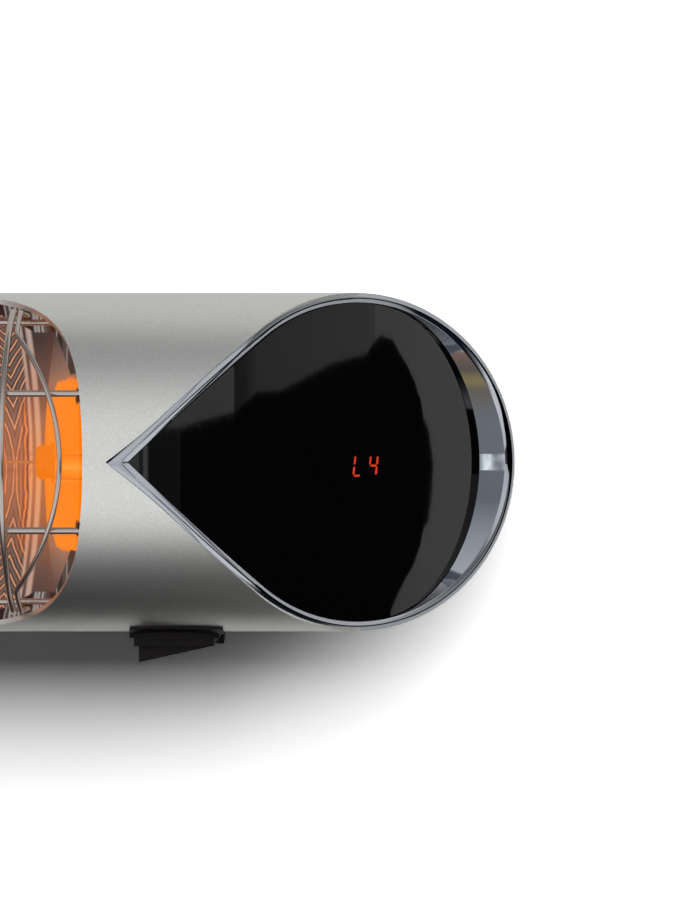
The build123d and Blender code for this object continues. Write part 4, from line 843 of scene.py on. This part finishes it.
# Painted reflection of the lamp in the leaning plate.
painted_lamp_reflection = add(tree, "ShaderNodeValToRGB", {0: share}, [
    (0.0, "#FF9A38"), (0.35, "#FF8A18"), (0.70, "#F87A06"), (0.80, "#D86A10"), (0.88, "#FF8A20"),
    (1.0, "#FF8000")])
in_lamp = add(tree, "ShaderNodeMath", {0: on_lamp, 1: lamp_half}, operation="LESS_THAN")
orange = add(tree, "ShaderNodeMix", {0: in_lamp, 6: orange, 7: painted_lamp_reflection}, data_type="RGBA").outputs[2]
outwards = add(tree, "ShaderNodeMath", {0: away, 1: 1 / 52.0}, operation="MULTIPLY")
share = add(tree, "ShaderNodeMath", {0: smear, 1: 0.12, 2: outwards}, operation="MULTIPLY_ADD")
# Painted lamplight, fading to brown and dark away from the band.
brown = add(tree, "ShaderNodeValToRGB", {0: share}, [
    (0.60, "#9A6A50"), (0.68, "#80604F"), (0.78, "#6A5048"), (0.90, "#4A403E"), (1.0, "#3A3636")])
colour = add(tree, "ShaderNodeMix", {0: below(tree, band_edge, band_half, 0.6), 6: brown, 7: orange},
             data_type="RGBA").outputs[2]
# Painted reflection of upright dark bands past the fold.
seam = add(tree, "ShaderNodeMapRange", {0: split.outputs["Y"], 1: -36.0, 2: 2.0, 3: 28.4, 4: 44.6})
sideways = add(tree, "ShaderNodeMath", {0: split.outputs["Z"]}, operation="ABSOLUTE")
painted_stripes = painted_reflected_bands(tree, split.outputs["X"], smear)
colour = add(tree, "ShaderNodeMix", {0: above(tree, sideways, seam, 0.3), 6: colour, 7: painted_stripes},
             data_type="RGBA").outputs[2]
# Painted shade: dark round each long wire where it passes the plate.
off_y = add(tree, "ShaderNodeMath", {0: split.outputs["Y"], 1: long_y}, operation="SUBTRACT")
off_y = add(tree, "ShaderNodeMath", {0: off_y, 1: 0.8}, operation="MULTIPLY")
off_z = add(tree, "ShaderNodeMath", {0: sideways, 1: long_z - 0.9}, operation="SUBTRACT")
squared = add(tree, "ShaderNodeMath", {0: off_z, 1: off_z}, operation="MULTIPLY")
squared = add(tree, "ShaderNodeMath", {0: off_y, 1: off_y, 2: squared}, operation="MULTIPLY_ADD")
off_hole = add(tree, "ShaderNodeMath", {0: squared}, operation="SQRT")
painted_hole_shade = add(tree, "ShaderNodeValToRGB", {0: off_hole}, [(0.0, "#2A1A12"), (1.0, "#3A2418")])
colour = add(tree, "ShaderNodeMix", {0: below(tree, off_hole, hole_half, 0.4), 6: colour, 7: painted_hole_shade},
             data_type="RGBA").outputs[2]
# The painted light shines as emission on a near-black metal.
metal = add(tree, "ShaderNodeBsdfPrincipled", {"Base Color": srgb("#120E0C"), "Metallic": 1.0,
                                               "Roughness": 0.35, "Specular IOR Level": 0.2,
                                               "Emission Color": colour, "Emission Strength": 0.96})
add(tree, "ShaderNodeOutputMaterial", {"Surface": metal})
dress(painted_lamplight_plate, "reflector_end_right", "reflector_end_left")

# Clear quartz: all but invisible, with a thin bright line down each side of the tube.
quartz, tree = blank_material("clear_quartz")
spot = add(tree, "ShaderNodeTexCoord")
seed = add(tree, "ShaderNodeTexNoise", {"Vector": spot.outputs["Object"], "Scale": 120.0, "Detail": 1.0})
rough = add(tree, "ShaderNodeMapRange", {0: seed, 3: 0.0, 4: 0.03})
clear = add(tree, "ShaderNodeBsdfTransparent", {"Color": srgb("#FFFDFB")})
sheen = add(tree, "ShaderNodeBsdfGlossy", {"Color": srgb("#FFFFFF"), "Roughness": rough})
facing = add(tree, "ShaderNodeLayerWeight", {"Blend": 0.06})
glass = add(tree, "ShaderNodeMixShader", {0: facing.outputs["Facing"], 1: clear, 2: sheen})
add(tree, "ShaderNodeOutputMaterial", {"Surface": glass})
dress(quartz, "lamp_quartz_tube")

# Glowing carbon: the strip's turns shine from orange to pale yellow every 3.4 mm, and its
# cooler leads at the ends glow a flat dull copper brown, painted lamplight in place of shading.
turn_glow = 3.4
cool_from = 254.0
filament, tree = blank_material("glowing_carbon")
moved, split = part_of(tree)
turned = add(tree, "ShaderNodeMath", {0: split.outputs["X"], 1: 2 * pi / turn_glow}, operation="MULTIPLY")
swing = add(tree, "ShaderNodeMath", {0: turned}, operation="SINE")
share = add(tree, "ShaderNodeMath", {0: swing, 1: 0.5, 2: 0.5}, operation="MULTIPLY_ADD")
hot = add(tree, "ShaderNodeValToRGB", {0: share}, [(0.0, "#FF5A10"), (0.6, "#FFA040"), (1.0, "#FFD890")])
glow = add(tree, "ShaderNodeEmission", {"Color": hot, "Strength": 2.2})
# Painted lamplight on the cool leads: a flat copper-brown glow.
painted_lead_glow = add(tree, "ShaderNodeEmission", {"Color": srgb("#C4794C"), "Strength": 1.0})
from_middle = add(tree, "ShaderNodeMath", {0: split.outputs["X"]}, operation="ABSOLUTE")
whole = add(tree, "ShaderNodeMixShader", {0: above(tree, from_middle, cool_from, 1.5), 1: glow, 2: painted_lead_glow})
add(tree, "ShaderNodeOutputMaterial", {"Surface": whole})


def wire_curve(name, line, radius, roundness=4):
    """Mesh of a round wire along a line of points in millimetres about the tube's axis"""
    data = bpy.data.curves.new(name, "CURVE")
    data.dimensions = "3D"
    data.bevel_depth = radius / 1000
    data.bevel_resolution = roundness
    data.use_fill_caps = True
    run = data.splines.new("POLY")
    run.points.add(len(line) - 1)
    for spot_on, place in zip(run.points, line):
        spot_on.co = (*at(*place), 1.0)
    drawn = bpy.data.objects.new(name, data)
    mesh = bpy.data.meshes.new_from_object(drawn)
    bpy.data.objects.remove(drawn)
    return mesh


# The strip is wound to a coil between two straight leads.
coil_end = 252.0
coil_pitch = 3.6
strip_radius = 0.5
lead_start = coil_end + 2
lead_end = 278.0
coil_radius = 1.9 - strip_radius
turn_steps = 12
coil_steps = turn_steps * round(2 * coil_end / coil_pitch)
coil = [(-lead_end, focus_depth, 0), (-lead_start, focus_depth, 0)]
for i in range(coil_steps + 1):
    wound = 2 * pi * i / turn_steps
    coil.append((-coil_end + 2 * coil_end * i / coil_steps, focus_depth + coil_radius * cos(wound),
                 coil_radius * sin(wound)))
coil += [(lead_start, focus_depth, 0), (lead_end, focus_depth, 0)]
coil_mesh = wire_curve("lamp_coil", coil, strip_radius, 1)
coil_mesh.materials.append(filament)
coil_mesh.polygons.foreach_set("use_smooth", [True] * len(coil_mesh.polygons))
spiral = put("lamp_coil", coil_mesh)
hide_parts("lamp_filament")
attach(spiral, "heater")

# Steatite ceramic: matt and speckled brown, with the lamp's orange light painted over all of it as a glow.
ceramic, tree = blank_material("steatite_ceramic")
moved, split = part_of(tree)
speck = add(tree, "ShaderNodeTexNoise", {"Vector": moved, "Scale": 1.6, "Detail": 4.0})
hue = add(tree, "ShaderNodeValToRGB", {0: speck}, [(0.3, "#6E4A2C"), (0.7, "#7E5634")])
# Painted lamplight: an even orange glow over the whole end.
lamplight = add(tree, "ShaderNodeValToRGB", {0: speck}, [(0.3, "#F87C04"), (0.7, "#FF8610")])
shell = add(tree, "ShaderNodeBsdfPrincipled", {"Base Color": hue, "Roughness": 0.7,
                                               "Emission Color": lamplight, "Emission Strength": 0.8})
add(tree, "ShaderNodeOutputMaterial", {"Surface": shell})

# Each end is turned: distance from the middle and radius, from its mouth to its back.
cap_profile = [(272.2, 4.6), (272.2, 4.9), (272.9, 5.3), (277.4, 5.3), (277.8, 7.0), (287.4, 7.0),
               (288.0, 6.4), (288.0, 1.6)]
cap_wall = 0.6
round_steps = 40
points, quads = [], []
for sign in (1, -1):
    for x, radius in cap_profile:
        points += [(sign * x, focus_depth + radius * cos(2 * pi * i / round_steps),
                    radius * sin(2 * pi * i / round_steps)) for i in range(round_steps)]
    first = 0 if sign > 0 else len(cap_profile) * round_steps
    for level in range(len(cap_profile) - 1):
        for i in range(round_steps):
            a = first + level * round_steps + i
            b = first + level * round_steps + (i + 1) % round_steps
            c, d = b + round_steps, a + round_steps
            quads.append((a, b, c, d) if sign > 0 else (a, d, c, b))
caps = skin("lamp_ceramic_ends", points, quads, ceramic)
thicken(caps, cap_wall, 1.0)
shade_sharp(caps)
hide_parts("lamp_end_caps")
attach(caps, "heater")

# The trough is a parabola whose ends follow the leaning plates.
cross, along = 96, 150
points, quads = [], []
for i in range(cross + 1):
    z = trough_half * (2 * i / cross - 1)
    y = trough_depth - (trough_depth - trough_edge) * (z / trough_half) ** 2
    end_x = plate_x(y) - 0.05
    points += [(end_x * (2 * j / along - 1), y, z) for j in range(along + 1)]
for i in range(cross):
    for j in range(along):
        a = i * (along + 1) + j
        b = a + along + 1
        quads.append((a, a + 1, b + 1, b))
trough = skin("reflector_sheet", points, quads, painted_lamplight_sheet)
thicken(trough, trough_sheet, 1.0)
shade_sharp(trough)
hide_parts("reflector_trough")
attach(trough, "heater")


# ---- Guard -------------------------------------------------------------------------------
# Polished steel wires: hoops over the opening, a bow round each end, two long wires behind
# them and a rail along each edge. The hoops are set out along the tube by a small node tree.
wire_radius = 1.1
wire_play = 0.3
bow_radius = 0.85
hoop_count = 9
hoop_radius = tube_radius - 0.5
hoop_end = mouth_end - 25.818
edge_y = mouth_mid_y + sqrt(mouth_arc ** 2 - (hoop_end + wire_radius - mouth_mid_x) ** 2)
leg = sqrt((tube_radius - tube_sheet) ** 2 - edge_y ** 2) - wire_radius - wire_play
leg_end = trough_edge + 1.5
bow_reach = tip_x - 16.9

# Polished steel wire: a bright, slightly drawn mirror, with the orange light from behind painted on as a
# faint glow that grows towards the back.
polished, tree = blank_material("polished_steel_wire")
moved, split = part_of(tree)
draw = add(tree, "ShaderNodeTexNoise", {"Vector": moved, "Scale": 2.5, "Detail": 3.0})
rough = add(tree, "ShaderNodeMapRange", {0: draw, 3: 0.12, 4: 0.26})
# Painted lamplight: more orange glow towards the back, by the lamp.
painted_lamplight_share = add(tree, "ShaderNodeMapRange", {0: split.outputs["Y"], 1: -58.0, 2: -20.0, 3: 0.0, 4: 0.25})
painted_glow_colour = add(tree, "ShaderNodeValToRGB", {0: painted_lamplight_share}, [(0.0, "#8A7468"), (1.0, "#E08040")])
metal = add(tree, "ShaderNodeBsdfPrincipled", {"Base Color": srgb("#B9B2AC"), "Metallic": 1.0,
                                               "Roughness": rough, "Emission Color": painted_glow_colour,
                                               "Emission Strength": 0.12})
add(tree, "ShaderNodeOutputMaterial", {"Surface": metal})

turn_at = asin(leg / hoop_radius)
hoop_line = [(0, leg_end, -leg)]
hoop_line += [(0, -hoop_radius * cos(a), hoop_radius * sin(a))
              for a in [turn_at * (2 * i / 48 - 1) for i in range(49)]]
hoop_line += [(0, leg_end, leg)]
one_hoop = put("one_hoop", wire_curve("one_hoop", hoop_line, wire_radius))

hoops_tree = bpy.data.node_groups.new("hoops_along_the_opening", "GeometryNodeTree")
for label, kind in (("Count", "Int"), ("First", "Vector"), ("Step", "Vector"), ("Hoop", "Object"),
                    ("Wire", "Material")):
    hoops_tree.interface.new_socket(label, in_out="INPUT", socket_type="NodeSocket" + kind)
hoops_tree.interface.new_socket("Geometry", in_out="OUTPUT", socket_type="NodeSocketGeometry")
given = add(hoops_tree, "NodeGroupInput")
stations = add(hoops_tree, "GeometryNodeMeshLine", {"Count": given.outputs["Count"],
                                                    "Start Location": given.outputs["First"],
                                                    "Offset": given.outputs["Step"]})
shape = add(hoops_tree, "GeometryNodeObjectInfo", {"Object": given.outputs["Hoop"]})
spread = add(hoops_tree, "GeometryNodeInstanceOnPoints", {"Points": stations,
                                                          "Instance": shape.outputs["Geometry"]})
real = add(hoops_tree, "GeometryNodeRealizeInstances", {"Geometry": spread})
coated = add(hoops_tree, "GeometryNodeSetMaterial", {"Geometry": real, "Material": given.outputs["Wire"]})
add(hoops_tree, "NodeGroupOutput", {"Geometry": coated})

hoops = put("guard_hoop_wires", bpy.data.meshes.new("guard_hoop_wires"))
live = hoops.modifiers.new("tree", "NODES")
live.node_group = hoops_tree
values = {"Count": hoop_count, "First": (-hoop_end / 1000, 0.0, 0.0),
          "Step": (2 * hoop_end / (hoop_count - 1) / 1000, 0.0, 0.0), "Hoop": one_hoop, "Wire": polished}
for item in hoops_tree.interface.items_tree:
    if item.in_out == "INPUT":
        live[item.identifier] = values[item.name]
settle(hoops)
bpy.data.objects.remove(one_hoop)
hoops.data.polygons.foreach_set("use_smooth", [True] * len(hoops.data.polygons))
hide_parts("guard_hoops")
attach(hoops, "heater")


def bow_line(sign):
    """Path of the wire round one end of the opening"""
    start_x = hoop_end + 2 * wire_radius + wire_play
    line = []
    for i in range(65):
        z = leg * sin(pi / 2 * (2 * i / 64 - 1))
        y = -sqrt(hoop_radius ** 2 - z ** 2)
        line.append((sign * max(start_x, bow_reach - 0.0085 * z ** 2 - 5e-7 * z ** 4), y, z))
    foot_y = leg_end - 2 * wire_radius - 0.1
    return [(line[0][0], foot_y, line[0][2])] + line + [(line[-1][0], foot_y, line[-1][2])]


def wires(name, lines, node_name, radius=wire_radius):
    """A group of like wires as one piece in the place of a CAD node"""
    work = bmesh.new()
    for line in lines:
        work.from_mesh(wire_curve(name, line, radius))
    whole = bpy.data.meshes.new(name)
    work.to_mesh(whole)
    work.free()
    whole.materials.append(polished)
    whole.polygons.foreach_set("use_smooth", [True] * len(whole.polygons))
    made = put(name, whole)
    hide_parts(node_name)
    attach(made, "heater")


long_x = plate_x(long_y) + 3.5
rail_y = leg_end - wire_radius
rail_z = leg - 2 * wire_radius
rail_x = plate_x(rail_y) - 0.6
wires("guard_bow_wires", [bow_line(1), bow_line(-1)], "guard_end_bows", bow_radius)
wires("guard_long_wires_drawn",
      [[(-long_x, long_y, s * long_z), (long_x, long_y, s * long_z)] for s in (1, -1)], "guard_long_wires")
wires("guard_rail_wires", [[(-rail_x, rail_y, s * rail_z), (rail_x, rail_y, s * rail_z)] for s in (1, -1)],
      "guard_side_rails")


# ---- Feet and wall brackets -----------------------------------------------------------------
# Black powder-coated castings: ridged feet screwed to the tube, and the wall plates with
# their arms. Each foot ends in a thin lip that lies on the side of the tube.
lip_near, lip_far = 305.8, 336.8
lip_first, lip_last = 71.5, 97.0
lip_sag = 1.6
lip_thick = 0.8
lip_radius = tube_radius + 0.1
lip_long, lip_round = 12, 8

# Black powder coat: near black with a fine orange peel 0.3 mm across, faintly brown where thin.
powder, tree = blank_material("black_powder_coat")
moved, split = part_of(tree)
peel = add(tree, "ShaderNodeTexNoise", {"Vector": moved, "Scale": 3.0, "Detail": 3.0})
tone = add(tree, "ShaderNodeTexNoise", {"Vector": moved, "Scale": 0.15, "Detail": 2.0})
hue = add(tree, "ShaderNodeValToRGB", {0: tone}, [(0.35, "#100E10"), (0.7, "#1C1516")])
bump = add(tree, "ShaderNodeBump", {"Height": peel, "Strength": 0.25, "Distance": 0.0003})
rough = add(tree, "ShaderNodeMapRange", {0: tone, 3: 0.42, 4: 0.55})
shell = add(tree, "ShaderNodeBsdfPrincipled", {"Base Color": hue, "Roughness": rough,
                                               "Specular IOR Level": 0.12, "Normal": bump})
add(tree, "ShaderNodeOutputMaterial", {"Surface": shell})
dress(powder, "foot_right", "foot_left", "wall_bracket_right", "wall_bracket_left")

for side_name, sign in (("right", 1), ("left", -1)):
    points, quads = [], []
    for i in range(lip_long + 1):
        share = 2 * i / lip_long - 1
        x = sign * (lip_near + (lip_far - lip_near) * i / lip_long)
        first = radians(lip_first + lip_sag * share * share)
        for j in range(lip_round + 1):
            a = first + (radians(lip_last) - first) * j / lip_round
            points.append((x, -lip_radius * cos(a), -lip_radius * sin(a)))
    for i in range(lip_long):
        for j in range(lip_round):
            a = (lip_round + 1) * i + j
            b = a + lip_round + 1
            quads.append((a, a + 1, b + 1, b) if sign > 0 else (a, b, b + 1, a + 1))
    lip = skin("foot_saddle_" + side_name, points, quads, powder)
    thicken(lip, lip_thick, 1.0)
    shade_sharp(lip)
    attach(lip, "heater")


# ---- Screws, seals and what is inside --------------------------------------------------------
# Steel screws and sheet, black rubber and nylon, two green boards and pale silicone leads.
# Most of it is out of sight behind the panel and the cover. Pattern scales are per millimetre.
def simple_finish(name, dark, light, roughness, metallic=0.0, scale=1.2, relief=0.15):
    """A finish whose colour and gloss vary a little over the surface"""
    made, tree = blank_material(name)
    moved, _ = part_of(tree)
    vary = add(tree, "ShaderNodeTexNoise", {"Vector": moved, "Scale": scale, "Detail": 3.0})
    hue = add(tree, "ShaderNodeValToRGB", {0: vary}, [(0.35, dark), (0.68, light)])
    gloss = add(tree, "ShaderNodeMapRange", {0: vary, 3: roughness - 0.05, 4: roughness + 0.05})
    grain = add(tree, "ShaderNodeBump", {"Height": vary, "Strength": relief, "Distance": 0.0002})
    shell = add(tree, "ShaderNodeBsdfPrincipled", {"Base Color": hue, "Metallic": metallic,
                                                   "Roughness": gloss, "Normal": grain})
    add(tree, "ShaderNodeOutputMaterial", {"Surface": shell})
    return made


# Stainless steel: dull bright heads, a little uneven
dress(simple_finish("stainless_screw_steel", "#8E8F90", "#B4B5B5", 0.3, 1.0, 2.0),
      "bulkhead_screws", "bezel_screws", "cover_screws", "foot_screws", "pivot_bolts", "pivot_nuts")
# Zinc-plated sheet: pale grey with soft clouds 2 to 3 mm across
dress(simple_finish("zinc_plated_sheet", "#9A9C9C", "#C2C4C2", 0.36, 1.0, 0.4),
      "bulkhead_right", "bulkhead_left", "reflector_formers", "power_board_rails")
# Spring steel: darker, with a tight sheen
dress(simple_finish("spring_steel_strip", "#7E7F80", "#A0A1A1", 0.32, 1.0, 0.9),
      "lamp_clips", "thermal_cut_out")
# Rubber: dead matt black
dress(simple_finish("black_rubber", "#0C0C0C", "#191919", 0.75, 0.0, 2.2),
      "lead_grommets", "display_gasket", "blank_gasket", "service_seal", "gland_seal")
# Moulded nylon: black with a soft sheen
dress(simple_finish("black_nylon", "#111112", "#1C1C1E", 0.5, 0.0, 2.6),
      "gland_body", "gland_cap", "gland_lock_nut", "board_spacers", "friction_washers")
# Textured cover moulding: matt black with a grain of 0.3 mm
dress(simple_finish("black_moulded_cover", "#0E0E10", "#18181A", 0.6, 0.0, 3.2, 0.4), "service_cover")
# Switch plastic: smooth and glossy black
dress(simple_finish("gloss_switch_plastic", "#0A0A0A", "#131314", 0.22, 0.0, 1.0),
      "rocker_frame", "rocker_cap")
# Circuit board: lacquered green, slightly mottled
dress(simple_finish("green_circuit_board", "#0E3B20", "#17522E", 0.4, 0.0, 0.8),
      "control_board", "power_board")
# Readout case: dark grey potted plastic
dress(simple_finish("grey_readout_case", "#1A1A1E", "#28282C", 0.45, 0.0, 1.4), "display_module")
# Receiver lens: near black with a wine-red cast, very smooth
dress(simple_finish("dark_receiver_lens", "#14060A", "#240A10", 0.1, 0.0, 1.4, 0.02), "infrared_receiver")
# Tinned pins: bright and faintly yellow
dress(simple_finish("tinned_pin_metal", "#B8B4A8", "#D4D0C4", 0.25, 1.0, 3.0), "module_pins")
# Extruded heat sink: raw aluminium, pale and satin
dress(simple_finish("extruded_heat_sink", "#9FA0A2", "#BDBEC0", 0.35, 1.0, 0.7), "triac_heat_sink")
# Glazed porcelain: cream white and glossy
dress(simple_finish("glazed_porcelain", "#D9D5CA", "#EAE7DE", 0.2, 0.0, 0.9, 0.03), "terminal_block")
# Silicone sheath: matt, warm pale grey
dress(simple_finish("silicone_lead_sheath", "#B9B3A6", "#CFC9BC", 0.6, 0.0, 1.8),
      "lamp_lead_right", "lamp_lead_left", "supply_leads")
